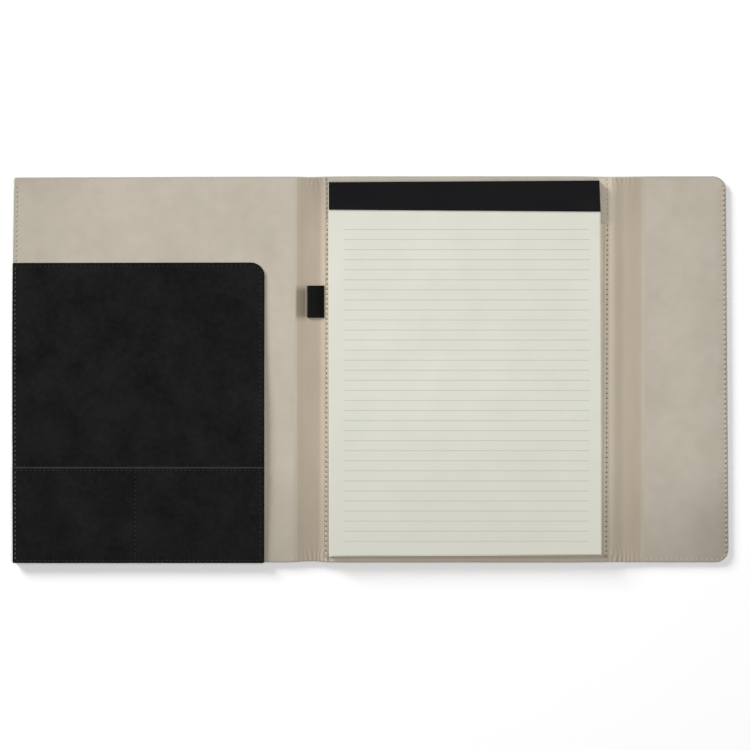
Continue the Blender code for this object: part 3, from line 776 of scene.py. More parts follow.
def paper_material(name, light, dark, ruled):
    """Writing paper with faint fibres, ruled where ruled is true."""
    shader = Shader(name, 0.85, 0.2)
    fibres = shader.grain(0.0005, 3.0, (1.6, 1.0, 1.0))
    tone = shader.weigh((fibres, 0.4), (shader.grain(0.03, 2.0), 0.6))
    colour = shader.mix(shader.spread(tone, 0.3, 0.7), dark, light)
    # Painted shade: the shade mark darkens the paper towards the pad's foot, where the light falls off
    colour = shader.mark("shade", 1.0, colour, srgb(198, 198, 187))
    if ruled:
        colour = shader.mix(shader.math("MULTIPLY", rules(shader), RULE_INK), colour, srgb(172, 172, 162))
    shader.bump(fibres, 0.15, 0.0001)
    return shader.paint(colour)


def rules(shader):
    """Where the ruled lines of the writing paper are."""
    x = shader.axis("X")
    row = shader.math("DIVIDE", shader.math("SUBTRACT", RULE_FIRST, shader.axis("Y")), RULE_PITCH)
    aside = shader.math("ABSOLUTE", shader.math("SUBTRACT", row, shader.math("ROUND", row)))
    line = shader.spread(aside, RULE_LINE, RULE_FADE, 1.0, 0.0)
    for place, low, high in ((x, RULE_LEFT, RULE_RIGHT), (row, -0.5, RULE_COUNT - 0.5)):
        line = shader.math("MULTIPLY", line, shader.math("GREATER_THAN", place, low))
        line = shader.math("MULTIPLY", line, shader.math("LESS_THAN", place, high))
    return line


def binding_material():
    """Smooth black binding paper with a few rubs."""
    shader = Shader("binding_paper", 0.5, 0.06)
    rubs = shader.grain(0.014, 4.0, (2.5, 1.0, 1.0))
    shader.bump(shader.grain(0.0007, 2.0), 0.2, 0.0001)
    colour = shader.mix(shader.spread(rubs, 0.35, 0.65), srgb(4, 4, 6), srgb(10, 9, 12))
    return shader.paint(colour, shader.spread(rubs, 0.3, 0.7, 0.46, 0.6))


def elastic_material():
    """Woven elastic with ribs along its length."""
    shader = Shader("ribbed_elastic", 0.9, 0.1)
    ribs, picks = (
        shader.math("SINE", shader.math("MULTIPLY", shader.axis(axis), 2 * math.pi / pitch))
        for axis, pitch in (("Y", RIB_PITCH), ("X", PICK_PITCH))
    )
    weave = shader.weigh((ribs, 0.7), (picks, 0.3))
    yarn = shader.grain(0.0004, 2.0)
    shader.bump(shader.math("ADD", weave, yarn), 0.5, 0.0002)
    tone = shader.weigh((shader.spread(weave, -1.0, 1.0), 0.7), (yarn, 0.3))
    colour = shader.mix(tone, srgb(8, 7, 7), srgb(23, 21, 21))
    # Painted shade where the loop runs in under the suede's crest at its root
    return shader.paint(shader.mark("tuck", 0.85, colour, srgb(3, 3, 3)))


def board_material(name, light, dark, spot):
    """Pressed board or foam, speckled with fibres."""
    shader = Shader(name, 0.9, 0.15, cad=True)
    flecks = shader.grain(spot, 4.0)
    tone = shader.weigh((flecks, 0.7), (shader.grain(0.025, 2.0), 0.3))
    shader.bump(flecks, 0.3, 0.0002)
    return shader.paint(shader.mix(shader.spread(tone, 0.3, 0.7), dark, light))


def steel_material(name, light, dark):
    """Plated steel, brushed one way."""
    shader = Shader(name, 0.35, 0.5, cad=True)
    shader.surface["Metallic"].default_value = 1.0
    brushed = shader.grain(0.0006, 3.0, (12.0, 1.0, 1.0))
    shader.bump(brushed, 0.1, 0.0001)
    colour = shader.mix(shader.spread(brushed, 0.3, 0.7), dark, light)
    return shader.paint(colour, shader.spread(brushed, 0.3, 0.7, 0.28, 0.42))


PANEL_COLOURS = (srgb(199, 190, 176), srgb(186, 177, 162))
CHANNEL_COLOURS = (srgb(187, 174, 156), srgb(175, 161, 143))
PANEL_SUEDE = suede_material("panel_suede", *PANEL_COLOURS)
CHANNEL_SUEDE = suede_material("channel_suede", *CHANNEL_COLOURS, (1.0, 4.0, 1.0), PANEL_COLOURS)
# Painted light: the sleeve's cloth is paler than the panels, to lift the pad's shadow on it
SLEEVE_SUEDE = suede_material("sleeve_cloth", srgb(232, 220, 199), srgb(220, 208, 186))
POCKET_SKIN = leather_material("pocket_skin", srgb(25, 25, 25), srgb(14, 14, 14), 0.0009, 0.05)
COVER_SKIN = leather_material("cover_skin", srgb(34, 34, 35), srgb(22, 22, 23), 0.0013, 0.25)
SUEDE_THREAD = thread_material("suede_thread", srgb(222, 213, 198), srgb(196, 187, 170))
DARK_THREAD = thread_material("dark_thread", srgb(50, 49, 48), srgb(30, 29, 29))
GREY_THREAD = thread_material("grey_thread", srgb(116, 113, 108), srgb(82, 80, 76))
RULED_PAPER = paper_material("ruled_paper", srgb(228, 228, 216), srgb(221, 221, 209), True)
CREAM_PAPER = paper_material("cream_paper", srgb(234, 229, 210), srgb(224, 219, 200), True)
CARD_BOARD = paper_material("card_board", srgb(166, 153, 134), srgb(146, 134, 116), False)


# Cover: the suede lining and its stitches


def painted_shade(x, y):
    """Painted shade: how much darker the suede is made at the free edges, and more and more towards the
    foot, where the light falls off.
    """
    shade = SHADE_SIDE * (1.0 - between(x, LINED.x0, LINED.x0 + SHADE_SIDE_REACH))
    shade += SHADE_FLAP * between(x, *X_SHADE_FLAP)
    brow = between(y, LINED.y1 - SHADE_BROW_REACH, LINED.y1)
    shade += SHADE_BROW * brow * (1.0 - between(x, LINED.x0, LINED.x0 + SHADE_BROW_WIDTH))
    corner = between(x, X_FLAP_FOLD, LINED.x1)
    return shade + between(-y, SHADE_FOOT_START, -LINED.y0) * (SHADE_FOOT + SHADE_CORNER * corner)


def head_shade(y):
    """Painted shade: how much darker a channel's suede is made at its head."""
    return SHADE_HEAD * (1.0 - between(LINED.y1 - y, 0.0, SHADE_HEAD_REACH))


def spine_shade(x, y):
    """Painted shade on the spine's suede, darker at its head, most of all on the right."""
    right = between(x, X_COVER_FOLD, X_SPINE_FOLD - SPINE_HEAD_END)
    return painted_shade(x, y) + head_shade(y) * (SPINE_HEAD_LEFT + SPINE_HEAD_RIGHT * right)


def gusset_shade(x, y):
    """Painted shade on the gusset's suede, a little darker at its head."""
    return painted_shade(x, y) + GUSSET_HEAD * head_shade(y)


def front_pale(x, y):
    """The front's suede, paler beside its fold and below its head."""
    beside = between(x, FRONT[1].x - FOLD_PALE_REACH, FRONT[1].x)
    return FOLD_PALE * beside * (1.0 - between(y, *Y_FOLD_PALE))


def back_pale(x, y):
    """Painted light: the back's suede is made paler beside the right edge of the pad, where the pad's shadow
    falls.
    """
    return BESIDE_PALE * between(x, *X_BESIDE)


def lining(part, corners, seams, swell, **marks):
    """A panel's suede with its edge stitches, a little uneven, and falling to the front's fold."""
    low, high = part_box(part + "_lining")
    fold_sides = [x for x in (low.x, high.x) if LINED.x0 < x < LINED.x1]
    rise, size = swell

    def height(x, y):
        dip = rise * (0.5 + 0.5 * ripple(x, y, size, high.z * MILLIMETRES))
        fall = FOLD_FALL * (1.0 - between(abs(x - FRONT[1].x), 0.0, FOLD_FALL_REACH))
        return high.z - dip - fall - round_over(LINED.depth(x, y), SUEDE_RIM)

    def foot(x, y):
        return FOLD_FOOT if any(abs(x - side) < SHARP for side in fold_sides) else SUEDE_FOOT

    piece = soft_sheet(part + "_suede", Panel(low, high, corners), SUEDE_RIM, height, PANEL_SUEDE, seams,
                       foot, SUEDE, LINED, {"shade": painted_shade, **marks})
    fit(piece, part, "lining", part + "_lining")
    sew(part + "_thread", seams, height, SUEDE_THREAD, part, "lining")


def make_linings():
    """The front, back and flap linings."""
    front_seam, flap_seam = (edge_seam(LINED, x, bold=edge_bold) for x in (FRONT[1].x, FLAP[0].x))
    back_seams = end_seams(LINED, BACK[0].x, BACK[1].x, bold=edge_bold)
    for x in (X_LEFT_COLUMN, X_RIGHT_COLUMN):
        back_seams.append(column_seam([(x, SLEEVE[1].y + STITCH), (x, LINED.y1 - SEAM_INSET)]))
    lining("front", FRONT_RADII, [front_seam], FRONT_SWELL, pale=front_pale)
    lining("back", SQUARE, back_seams, BACK_SWELL, pale=back_pale)
    lining("flap", FLAP_RADII, [flap_seam], FLAP_SWELL)


def gathered(x, y):
    """How strongly a channel's end is gathered: most beside the back panel and at the foot."""
    if x < X_MID_BACK:
        beside = between(x, X_COVER_FOLD, X_SPINE_FOLD)
    else:
        beside = 1.0 - between(x, X_GUSSET_FOLD, X_FLAP_FOLD)
    return (PUCKER_LEAST + (1.0 - PUCKER_LEAST) * beside) * (PUCKER_HEAD if y > 0 else 1.0)


def puckered(x, y, seed):
    """Little folds where a channel's end is gathered into the edge seam."""
    side = seed + (HEAD_SEED if y > 0 else 0.0)
    turns = x / PUCKER_WIDTH + PUCKER_STRAY * ripple(x, y, PUCKER_STRAY_SIZE, side)
    varied = 1.0 - PUCKER_VARIES + PUCKER_VARIES * ripple(x, 0.0, PUCKER_VARIES_SIZE, side + STRENGTH_SEED)
    fade = bell(min(LINED.y1 - y, y - LINED.y0), 0.0, PUCKER_REACH)
    return PUCKER_HEIGHT * fade * (varied * gathered(x, y)) * math.sin(2 * math.pi * turns)


def channel_rows():
    """Rows along a channel: close together at its rounded ends and at the pen loop."""
    low, high = LINED.y0, LINED.y1
    lower, upper = low + CHANNEL_END, high - CHANNEL_END
    rows = steps(low + SUEDE_RIM, lower, FINE_STEP) + steps(upper, high - SUEDE_RIM, FINE_STEP)
    rows += steps(lower, upper, CHANNEL_PITCH)[1:-1]
    for inset in rings_of(SUEDE_RIM)[:-1]:
        rows += [low + inset, high - inset]
    for end in (LOOP[0].y, LOOP[1].y):
        rows += steps(end - LOOP_STEP, end + LOOP_STEP, LOOP_PITCH)
    return sorted(rows)


def profile(knots):
    """A height over x that runs smoothly through knots, level at each of them."""
    def height(x):
        for (x0, z0), (x1, z1) in zip(knots, knots[1:]):
            if x <= x1:
                return z0 + (z1 - z0) * between(x, x0, x1)
        return knots[-1][1]
    return height


def channel_piece(name, start, end, level, carrier, skin, marks, *nodes):
    """One half of the suede in the spine or the gusset, on its side of the fold."""
    def surface(x, y):
        return level(x, y) + puckered(x, y, start) - round_over(LINED.depth(x, y), SUEDE_RIM)

    def rim(x, y):
        return CHANNEL_RIM * rim_share(LINED, x, y)

    # Painted highlight on the raised side of each pucker
    def pale(x, y):
        return marks["pale"](x, y) + PUCKER_PALE * (max(puckered(x, y, start), 0.0) / PUCKER_HEIGHT)

    across, along = guarded(steps(start, end, CHANNEL_STEP)), channel_rows()
    seams = end_seams(LINED, start, end, bold=edge_bold)
    points, holes = pressed([(x, y) for y in along for x in across], surface, seams)
    foot, head = ([(x, y, SUEDE_FOOT) for x in across] for y in (along[0], along[-1]))
    points = foot + points + head
    holes = [0.0] * len(foot) + holes + [0.0] * len(head)
    faces = grid_faces(len(across), len(along) + 2)
    shares = {**marks, "hole": holes, "rim": rim, "pale": pale}
    piece = thicken(mesh_piece(name, laid(points), faces, CHANNEL_SUEDE, points, shares), STRIP)
    fit(piece, carrier, "lining", *nodes)


def loop_room(x, y):
    """1 under the pen loop, where the suede is pressed down."""
    room = between(y, LOOP[0].y, LOOP[0].y + LOOP_STEP)
    room *= 1.0 - between(y, LOOP[1].y - LOOP_STEP, LOOP[1].y)
    room *= between(x, X_LOOP_TIP - LOOP_STEP, X_LOOP_TIP + LOOP_STEP / 2)
    return room * (1.0 - between(x, LOOP[1].x, LOOP[1].x + LOOP_STEP))


def loop_shadow_share(x, y):
    """Painted shadow of the pen loop on the spine's suede to its left, along the loop's length, lighter just
    beside its tip.
    """
    near = between(y, *Y_LOOP_SHADOW_FOOT) * (1.0 - between(y, *Y_LOOP_SHADOW_HEAD))
    left = LOOP_SHADOW_NEAR * between(x, X_LOOP_SHADOW_LEFT, X_COVER_FOLD)
    near *= left + LOOP_SHADOW_INNER * between(x, X_COVER_FOLD, X_MID_SPINE)
    return near * (1.0 - LOOP_SHADOW_STOP * between(x, *X_LOOP_SHADOW_STOP))


def sleeve_lift(y):
    """How much the sleeve stands up beside the pad's right edge."""
    return GUSSET_LIFT * (1.0 - between(y, *Y_LIFT_END))


def make_channels():
    """The suede of the spine and the gusset, each in two halves that meet at its middle."""
    front_end, back_start = X_SPINE_SUEDE
    back_end, flap_start = X_GUSSET_SUEDE
    spine_profile = profile([
        (front_end, SPINE_EDGE), (X_SPINE_BROW, SPINE_EDGE), (X_SPINE_LOW, SPINE_VALLEY),
        (X_SPINE_RISE, SPINE_VALLEY), (back_start, SPINE_CREST),
    ])
    gusset_profile = profile([
        (back_end, GUSSET_CREST - GUSSET_TUCK), (X_GUSSET_BROW, GUSSET_CREST), (X_GUSSET_LOW, GUSSET_VALLEY),
        (FLAP[0].x, FLAP[1].z), (flap_start, FLAP[1].z - GUSSET_TUCK),
    ])

    def crease(y):
        return X_COVER_FOLD + CREASE_ASIDE - CREASE_LEAN * y / LINED.y1

    def spine_level(x, y):
        level = spine_profile(x) - CREASE_DEPTH * bell(x, crease(y), CREASE_WIDTH)
        return level + (Z_FLOOR - LOOP_PRESS - level) * loop_room(x, y)

    def gusset_level(x, y):
        return gusset_profile(x) + sleeve_lift(y) * (1.0 - between(x, X_GUSSET_FOLD, X_MID_GUSSET))

    def spine_panel(x, y):
        left = 1.0 - between(x, crease(y) - CREASE_TONE, crease(y))
        return left + between(x, X_SPINE_TONE, back_start)

    def gusset_panel(x, y):
        return 1.0 - between(x, *GUSSET_TONE_LEFT) + between(x, *GUSSET_TONE_RIGHT)

    # Painted highlight on the crest where the suede rises to the back panel
    def spine_pale(x, y):
        return SPINE_CREST_PALE * bell(x, X_SPINE_PALE, SPINE_CREST_REACH)

    # Painted light: the gusset is made paler in the pad's shadow, with a painted highlight on its crest
    def gusset_pale(x, y):
        return GUSSET_PALE + GUSSET_CREST_PALE * bell(x, X_GUSSET_PALE, GUSSET_CREST_REACH)

    marks = {"pale": spine_pale, "stain": loop_shadow_share, "panel": spine_panel, "shade": spine_shade}
    bend = over("front", "spine", X_COVER_FOLD, BEND_NEAR, BEND_FAR)
    channel_piece("spine_suede_left", front_end, X_MID_SPINE, spine_level, bend, "front_skin", marks,
                  "spine_lining")
    bend = over("spine", "back", X_SPINE_FOLD, BEND_FAR, BEND_NEAR)
    channel_piece("spine_suede_right", X_MID_SPINE, back_start, spine_level, bend, "spine_skin", marks)
    marks = {"pale": gusset_pale, "panel": gusset_panel, "shade": gusset_shade}
    bend = over("back", "gusset", X_GUSSET_FOLD, BEND_NEAR, BEND_FAR)
    channel_piece("gusset_suede_left", back_end, X_MID_GUSSET, gusset_level, bend, "gusset_skin", marks,
                  "gusset_lining")
    bend = over("gusset", "flap", X_FLAP_FOLD, BEND_FAR, BEND_NEAR)
    channel_piece("gusset_suede_right", X_MID_GUSSET, flap_start, gusset_level, bend, "flap_skin", marks)


# Cover: the outer leather


def skin_piece(part, start, end, corners, bodies, fold, seams, board, *nodes):
    """A length of the outer leather across one fold, with its edge stitches sunk into it."""
    def height(x, y):
        return round_over(COVER.depth(x, y), LEATHER_RIM) + SKIN_CREASE * bell(x, fold, SKIN_CREASE_WIDTH)

    across = steps(fold - SKIN_ROWS, fold + SKIN_ROWS, SKIN_ROW_STEP)
    rows = [Vector((x, y)) for x in across for y in steps(COVER.y0, COVER.y1, SKIN_ROW_PITCH)]
    panel = Panel((start, COVER.y0), (end, COVER.y1), corners)
    plan, faces, _ = fill(panel, rings_of(SUEDE_RIM), SKIN_GRID, rows + rows_for(seams))
    points, holes = pressed(plan, height, seams, side=-1)
    faces = [tuple(reversed(face)) for face in faces]
    piece = mesh_piece(part + "_skin", laid(points), faces, COVER_SKIN, points, {"hole": holes})
    thicken(piece, SKIN)
    bend = over(*bodies, fold, SKIN_BEND, SKIN_BEND)
    fit(piece, bend, "outer_leather", *nodes)
    sew(part + "_outer_thread", seams, lambda x, y: SKIN_THREAD_LEVEL, DARK_THREAD, bend, "outer_leather",
        side=-1, radius=SKIN_THREAD)


def make_skins():
    """The outer leather in four lengths, each over one fold."""
    low, high = COVER.y0 + SEAM_INSET, COVER.y1 - SEAM_INSET
    columns = [Seam(route([(x, low), (x, high)])) for x in (X_LEFT_COLUMN, X_RIGHT_COLUMN)]
    skin_piece("front", COVER.x0, X_MID_SPINE, FRONT_RADII, ("front", "spine"), X_COVER_FOLD,
               [edge_seam(COVER, X_MID_SPINE)], "front_board", "front_outer")
    skin_piece("spine", X_MID_SPINE, X_MID_BACK, SQUARE, ("spine", "back"), X_SPINE_FOLD,
               end_seams(COVER, X_MID_SPINE, X_MID_BACK) + columns[:1], "back_board",
               "spine_outer", "back_outer")
    skin_piece("gusset", X_MID_BACK, X_MID_GUSSET, SQUARE, ("back", "gusset"), X_GUSSET_FOLD,
               end_seams(COVER, X_MID_BACK, X_MID_GUSSET) + columns[1:], "back_board", "gusset_outer")
    skin_piece("flap", X_MID_GUSSET, COVER.x1, FLAP_RADII, ("gusset", "flap"), X_FLAP_FOLD,
               [edge_seam(COVER, X_MID_GUSSET)], "flap_board", "flap_outer")


# Pockets and sleeve


def stand(y):
    """How high the right edge of the pockets stands up."""
    return STAND_LEAST + STAND_MOST * bell(y, STAND_PLACE, STAND_REACH)


def pocket(name, node, corners, base, bright, dim, divider=None, **marks):
    """A leatherette pocket sewn to the front cover, open at its head, with its right edge raised."""
    low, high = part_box(node)
    head = high.y - POCKET_LOWER
    panel = Panel((low.x, low.y - POCKET_LOWER), (high.x, head), corners)
    border, inside = low.z + POCKET_LEATHER, high.z - POCKET_ROOM

    def height(x, y):
        sewn = min(x - low.x, high.x - x, y - low.y)
        swell = between(sewn, *POCKET_RISE) * (1.0 - MOUTH_FALL * between(y, head - POCKET_MOUTH, head))
        level = border + (inside - border) * swell + POCKET_SWELL * ripple(x, y, POCKET_SWELL_SIZE, border)
        if divider is not None:
            level += (border - level) * bell(x, divider, DIVIDER_REACH)
        raised = border + stand(y) * (1.0 - between(high.x - x, *STAND_FALL))
        return max(level, raised) - round_over(panel.depth(x, y), LEATHER_RIM)

    def foot(x, y):
        return None if y > head - 2 * SHARP else base

    piece = soft_sheet(name + "_sheet", panel, LEATHER_RIM, height, POCKET_SKIN, bright + dim, foot,
                       POCKET_LEATHER, panel, marks)
    fit(piece, "front", "pocket_leather", node)
    sew(name + "_side_thread", bright, height, GREY_THREAD, "front", "pocket_leather")
    sew(name + "_edge_thread", dim, height, DARK_THREAD, "front", "pocket_leather")


def make_pockets():
    """The document pocket, and the card pocket on its lower part, sewn in two."""
    left, right = POCKET[0].x + POCKET_SIDE, POCKET[1].x - POCKET_RIGHT
    foot, head = POCKET[0].y + POCKET_FOOT, POCKET[1].y - POCKET_LOWER - POCKET_HEAD
    card_edge = CARD_POCKET[1].y - POCKET_LOWER
    card_head = card_edge - POCKET_HEAD

    def seam(*corners, turn=0.0):
        return Seam(route(corners, turn), POCKET_STITCH)

    side = seam((left, card_edge), (left, head))
    hem = seam((left, head), (right, head), (right, card_edge), turn=POCKET_CORNER - POCKET_RIGHT)
    pocket("pocket", "document_pocket", (POCKET_TOE, POCKET_TOE, POCKET_CORNER, POCKET_TIP), FRONT[1].z,
           [side], [hem])
    side = seam((left, card_head), (left, foot))
    others = [
        seam((left, foot), (right, foot), (right, card_head), turn=SEAM_TURN),
        seam((left, card_head), (right, card_head)),
        seam((X_DIVIDER, card_head), (X_DIVIDER, foot)),
    ]
    # Painted highlight along the card pocket's mouth
    pocket("card_pocket", "card_pocket", (POCKET_TOE, POCKET_TOE, POCKET_TIP, POCKET_TIP),
           POCKET[0].z + POCKET_LEATHER, [side], others, X_DIVIDER,
           worn=lambda x, y: bell(y, card_edge, MOUTH_HIGHLIGHT_REACH))


def make_sleeve():
    """The suede sleeve that holds the pad's card, sewn at its sides and foot."""
    low, high = SLEEVE
    panel = Panel((low.x, LINED.y0 - SLEEVE_OVER), high, (SHARP, SHARP, SLEEVE_CORNER, SLEEVE_CORNER))
    border = BACK[1].z + SLEEVE_LEAF + SLEEVE_OVER
    left, right = X_LEFT_COLUMN, X_RIGHT_COLUMN

    def height(x, y):
        over_card = between(x - panel.x0, *CARD_LEFT) * between(panel.x1 - x, *CARD_RIGHT)
        over_card *= between(y - panel.y0, *CARD_FOOT)
        level = border + sleeve_lift(y) * between(x, *X_SLEEVE_RISE)
        tuck = SLEEVE_TUCK * (1.0 - between(x - panel.x0, *TUCK_EDGE))
        tuck += RIGHT_TUCK * (1.0 - between(panel.x1 - x, *TUCK_EDGE))
        return level - tuck + (high.z - level) * over_card - round_over(panel.depth(x, y), SLEEVE_LEAF)

    def foot(x, y):
        return SUEDE_FOOT if y < panel.y0 + SHARP else None

    # Painted shade: the sleeve's suede is darkened under the pad's foot, along the foot and in the narrow
    # gap between the stitches and the pad
    def shade(x, y):
        foot_share = SLEEVE_FOOT_SHADE * (1.0 - between(y, *Y_FOOT_SHADE))
        pad_share = PAD_SHADE * bell(y, CARD[0].y, PAD_SHADE_REACH)
        gap = between(x, *X_GAP_LEFT) * (1.0 - between(x, *X_GAP_RIGHT))
        gap *= SLEEVE_SHADE * (1.0 + between(-y, -SLEEVE_SHADE_START, -LINED.y0))
        return max(gap, foot_share, pad_share, painted_shade(x, y))

    start, sewn_foot = high.y - SLEEVE_START, LINED.y0 + SEAM_INSET
    seams = [column_seam([(left, start), (left, sewn_foot), (right, sewn_foot), (right, start)])]
    sides = (
        (panel.x0 + CARD_LEFT[0] - CARD_ROW_MARGIN, panel.x0 + CARD_LEFT[1] + CARD_ROW_MARGIN),
        (panel.x1 - CARD_RIGHT[1] - CARD_ROW_MARGIN, panel.x1 - CARD_RIGHT[0] + CARD_ROW_MARGIN),
    )
    across = [x for side in sides for x in steps(*side, CARD_ROW_STEP)]
    card_rows = [Vector((x, y)) for y in steps(panel.y0, panel.y1, CARD_ROW_PITCH) for x in across]
    piece = soft_sheet("sleeve_suede", panel, SLEEVE_LEAF, height, SLEEVE_SUEDE, seams, foot, SLEEVE_LEAF,
                       LINED, {"shade": shade}, card_rows)
    fit(piece, "back", "lining", "pad_sleeve")
    sew("sleeve_thread", seams, height, SUEDE_THREAD, "back", "lining")


# Pen loop


def make_loop():
    """A band of ribbed elastic, folded into a loop and sewn in at the edge of the back panel."""
    root, tip = LOOP[1].x, X_LOOP_TIP
    low, high = LOOP[0].z, LOOP[0].z + LOOP_HEIGHT
    radius, middle = (high - low) / 2, (low + high) / 2
    path = [Vector((x, low)) for x in steps(root, tip + radius, LOOP_GRID)]
    for i in range(1, LOOP_ARC):
        angle = math.radians(270 - 180 * i / LOOP_ARC)
        path.append(Vector((tip + radius + radius * math.cos(angle), middle + radius * math.sin(angle))))
    path += [Vector((x, high)) for x in steps(tip + radius, root + LOOP_LAP, LOOP_GRID)]

    def place(point, y):
        sag = LOOP_SAG * math.cos(math.pi * (y - LOOP[0].y) / (LOOP[1].y - LOOP[0].y)) ** 2
        return point.x, y, point.y + (sag if point.y > middle else 0.0) - LOOP_SAG

    along = guarded(steps(LOOP[0].y, LOOP[1].y, LOOP_ROWS))
    points = [place(point, y) for y in along for point in path]
    faces = [tuple(reversed(face)) for face in grid_faces(len(path), len(along))]
    # Painted shade towards the loop's root
    marks = {"tuck": lambda x, y: between(x, tip + LOOP_TUCK, root)}
    piece = mesh_piece("elastic_loop", points, faces, elastic_material(), marks=marks)
    thicken(piece, LOOP_BAND, offset=1.0)
    fit(piece, over("back", "spine", X_SPINE_FOLD, *LOOP_BEND), "elastic", "pen_loop")


# Writing pad


def pad_lay(x, y):
    """The pad lies a little askew, and the upper part of its right edge leans in."""
    up, across = y - PAD_MID[1], (x - BLOCK[0].x) / (2 * PAD_HALF[0])
    fan = PAD_FAN * across * max(up, 0.0) / PAD_HALF[1]
    return x - PAD_SHEAR * up - fan, y - PAD_SHRINK * up + PAD_TILT * (x - PAD_MID[0])


def make_block():
    """The sheets under the top one, as a stack of layers whose edges don't quite line up."""
    draw = random.Random(BLOCK_SEED)
    rest, faces = [], []
    step = (BLOCK[1].z - BLOCK[0].z) / BLOCK_LAYERS
    for layer in range(BLOCK_LAYERS):
        left = BLOCK[0].x + draw.uniform(*LEFT_STRAY)
        right = BLOCK[1].x + draw.uniform(*RIGHT_STRAY)
        foot = BLOCK[0].y + draw.uniform(*FOOT_STRAY)
        low = BLOCK[0].z + layer * step
        first = len(rest)
        for z in (low, low + LAYER_SHARE * step):
            rest += [(left, foot, z), (right, foot, z), (right, BLOCK[1].y, z), (left, BLOCK[1].y, z)]
        faces.append((first + 3, first + 2, first + 1, first))
        faces.append((first + 4, first + 5, first + 6, first + 7))
        for i in range(4):
            j = (i + 1) % 4
            faces.append((first + i, first + j, first + 4 + j, first + 4 + i))
    points = [(*pad_lay(x, y), z) for x, y, z in rest]
    fit(mesh_piece("paper_block", points, faces, CREAM_PAPER, rest, flat=True), "pad", "paper", "pad_sheets")


def make_top_sheet():
    """The ruled sheet on top, held under the binding, with closer rows where it would turn over at its edge.
    """
    left, right = BLOCK[0].x + SHEET_INSET, BLOCK[1].x - SHEET_INSET
    foot, head = BLOCK[0].y + SHEET_INSET, Y_PERFORATION + SHEET_HELD

    def place(x, y):
        aside = (x - PAD_MID[0]) / PAD_HALF[0]
        curl = SHEET_CURL * between(PAD_MID[1] - y, CURL_START * PAD_HALF[1], PAD_HALF[1]) * aside * aside
        return (*pad_lay(x, y), BLOCK[1].z + SHEET_RISE + curl)

    across = guarded(steps(left, right, SHEET_STEP))
    along = steps(foot, Y_PERFORATION - ROLL_FAR, SHEET_STEP)
    along = guarded(along + steps(Y_PERFORATION - ROLL_NEAR, head, ROLL_STEP))
    points = [place(x, y) for y in along for x in across]
    # Painted shade, darker towards the pad's foot
    marks = {"shade": lambda x, y: PAPER_SHADE * between(-y, 0.0, PAD_HALF[1])}
    faces = grid_faces(len(across), len(along))
    piece = thicken(mesh_piece("ruled_sheet", points, faces, RULED_PAPER, marks=marks), PAPER)
    start, end = ((PAD_MID[0], Y_PERFORATION - roll, 0.0) for roll in (ROLL_START, ROLL_END))
    fit(piece, ("pad", "sheet", start, end), "paper", "top_sheet")


def make_binding():
    """A bare black strip, wrapped over the pad's head and glued to both of its faces."""
    low, high = BINDING
    width, depth = high.x - low.x, high.y - low.y
    corners = [(low.y, low.z), (high.y, low.z), (high.y, high.z), (low.y, high.z)]
    section = spaced(route(corners, BINDING_FOLD), BINDING_STEP)
    across = guarded(steps(low.x, high.x, BINDING_PITCH))
    rest = [(x, y, z) for y, z in section for x in across]

    def place(x, y, z):
        share = (x - low.x) / width
        lower = low.y + BINDING_LOW - BINDING_SLOPE * share
        bent = high.y - (high.y - y) * (high.y - lower) / depth
        lean = BINDING_LEAN * share * (y - low.y) / depth
        return (*pad_lay(x - lean + BINDING_SHORT * (1.0 - share), bent), z)

    points = [place(*point) for point in rest]
    faces = grid_faces(len(across), len(section))
    piece = thicken(mesh_piece("binding_strip", points, faces, binding_material(), rest), BINDING_LEAF)
    fit(piece, "pad", "binding", "pad_binding")


def make_card():
    """The pad's backing card."""
    low, high = CARD
    panel = Panel(low, high, (CARD_CORNER,) * 4)
    plan, faces, _ = fill(panel, [0.0, CARD_CORNER, CARD_RIM], CARD_GRID)
    points = [(*pad_lay(x, y), high.z) for x, y in plan]
    piece = mesh_piece("card_back", points, faces, CARD_BOARD, [(x, y, high.z) for x, y in plan])
    fit(thicken(piece, high.z - low.z), "pad", "backing_card", "pad_backing")


def dress_inner_nodes():
    """Materials for the pieces inside, which keep the model's own shapes."""
    looks = {
        "board": board_material("grey_board", srgb(158, 148, 134), srgb(132, 123, 110), 0.0012),
        "foam": board_material("white_foam", srgb(212, 212, 208), srgb(192, 192, 187), 0.0007),
        "magnet": steel_material("plated_magnet", srgb(190, 190, 192), srgb(160, 160, 163)),
        "keeper": steel_material("plated_keeper", srgb(184, 184, 186), srgb(150, 150, 154)),
        "staple": steel_material("staple_wire", srgb(206, 206, 208), srgb(176, 176, 180)),
    }
    for name, node in frame["nodes"].items():
        for word, material in looks.items():
            if word in name:
                node.data.materials.clear()
                node.data.materials.append(material)


# Studio


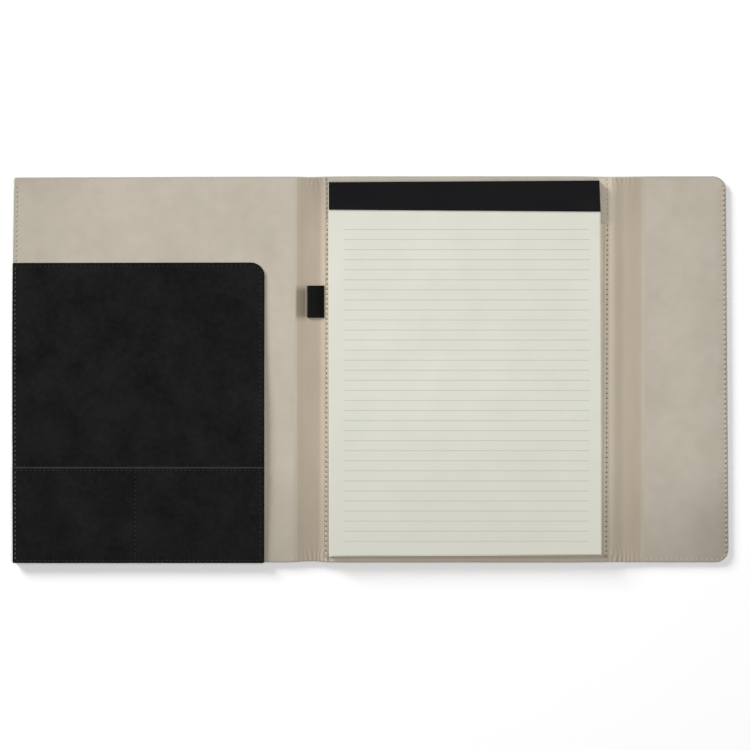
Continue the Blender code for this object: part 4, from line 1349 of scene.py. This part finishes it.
def make_lamp(name, share, towards, distance, size):
    """A soft square lamp that gives its share of the light on a level surface in the middle."""
    direction = Vector(towards).normalized()
    light = bpy.data.lights.new(name, "AREA")
    light.size = size
    light.energy = share * math.pi**2 * distance**2 / direction.z
    lamp = bpy.data.objects.new(name, light)
    lamp.location = direction * distance
    lamp.rotation_euler = direction.to_track_quat("Z", "Y").to_euler()
    bpy.context.scene.collection.objects.link(lamp)


def make_studio():
    """A pale floor, an even sky, and soft lamps from the upper left and from above."""
    scene = bpy.context.scene
    scene.view_settings.view_transform = "Standard"
    scene.world = bpy.data.worlds.new("studio")
    sky = Nodes(scene.world)
    sky.nodes["Background"].inputs["Color"].default_value = (1.0, 1.0, 1.0, 1.0)
    sky.join(sky.background(AMBIENT, 1.0), sky.nodes["Background"].inputs["Strength"])
    for name, lamp in LAMPS.items():
        make_lamp(name, *lamp)

    pale = bpy.data.materials.new("pale_floor")
    paint = Nodes(pale)
    surface = paint.add("BsdfDiffuse", 0, {"Color": paint.background(FLOOR_GREY, FLOOR_SEEN)})
    paint.join(surface, paint.nodes["Material Output"].inputs["Surface"])
    corners = [(FLOOR_HALF * x, FLOOR_HALF * y, 0) for x, y in ((-1, -1), (1, -1), (1, 1), (-1, 1))]
    mesh = bpy.data.meshes.new("floor")
    mesh.from_pydata(corners, [], [(0, 1, 2, 3)])
    mesh.materials.append(pale)
    floor = bpy.data.objects.new("floor", mesh)
    floor.location.z = -FLOOR_DROP
    scene.collection.objects.link(floor)

    camera = bpy.data.objects.new("camera", bpy.data.cameras.new("camera"))
    camera.data.sensor_width = SENSOR
    camera.data.lens = SENSOR * VIEW_HEIGHT / VIEW_WIDTH
    camera.location = (*VIEW_CENTRE, VIEW_LEVEL + VIEW_HEIGHT)
    scene.collection.objects.link(camera)
    scene.camera = camera


make_linings()
make_channels()
make_skins()
make_pockets()
make_sleeve()
make_loop()
make_block()
make_top_sheet()
make_binding()
make_card()
dress_inner_nodes()
make_studio()

bpy.context.view_layer.update()
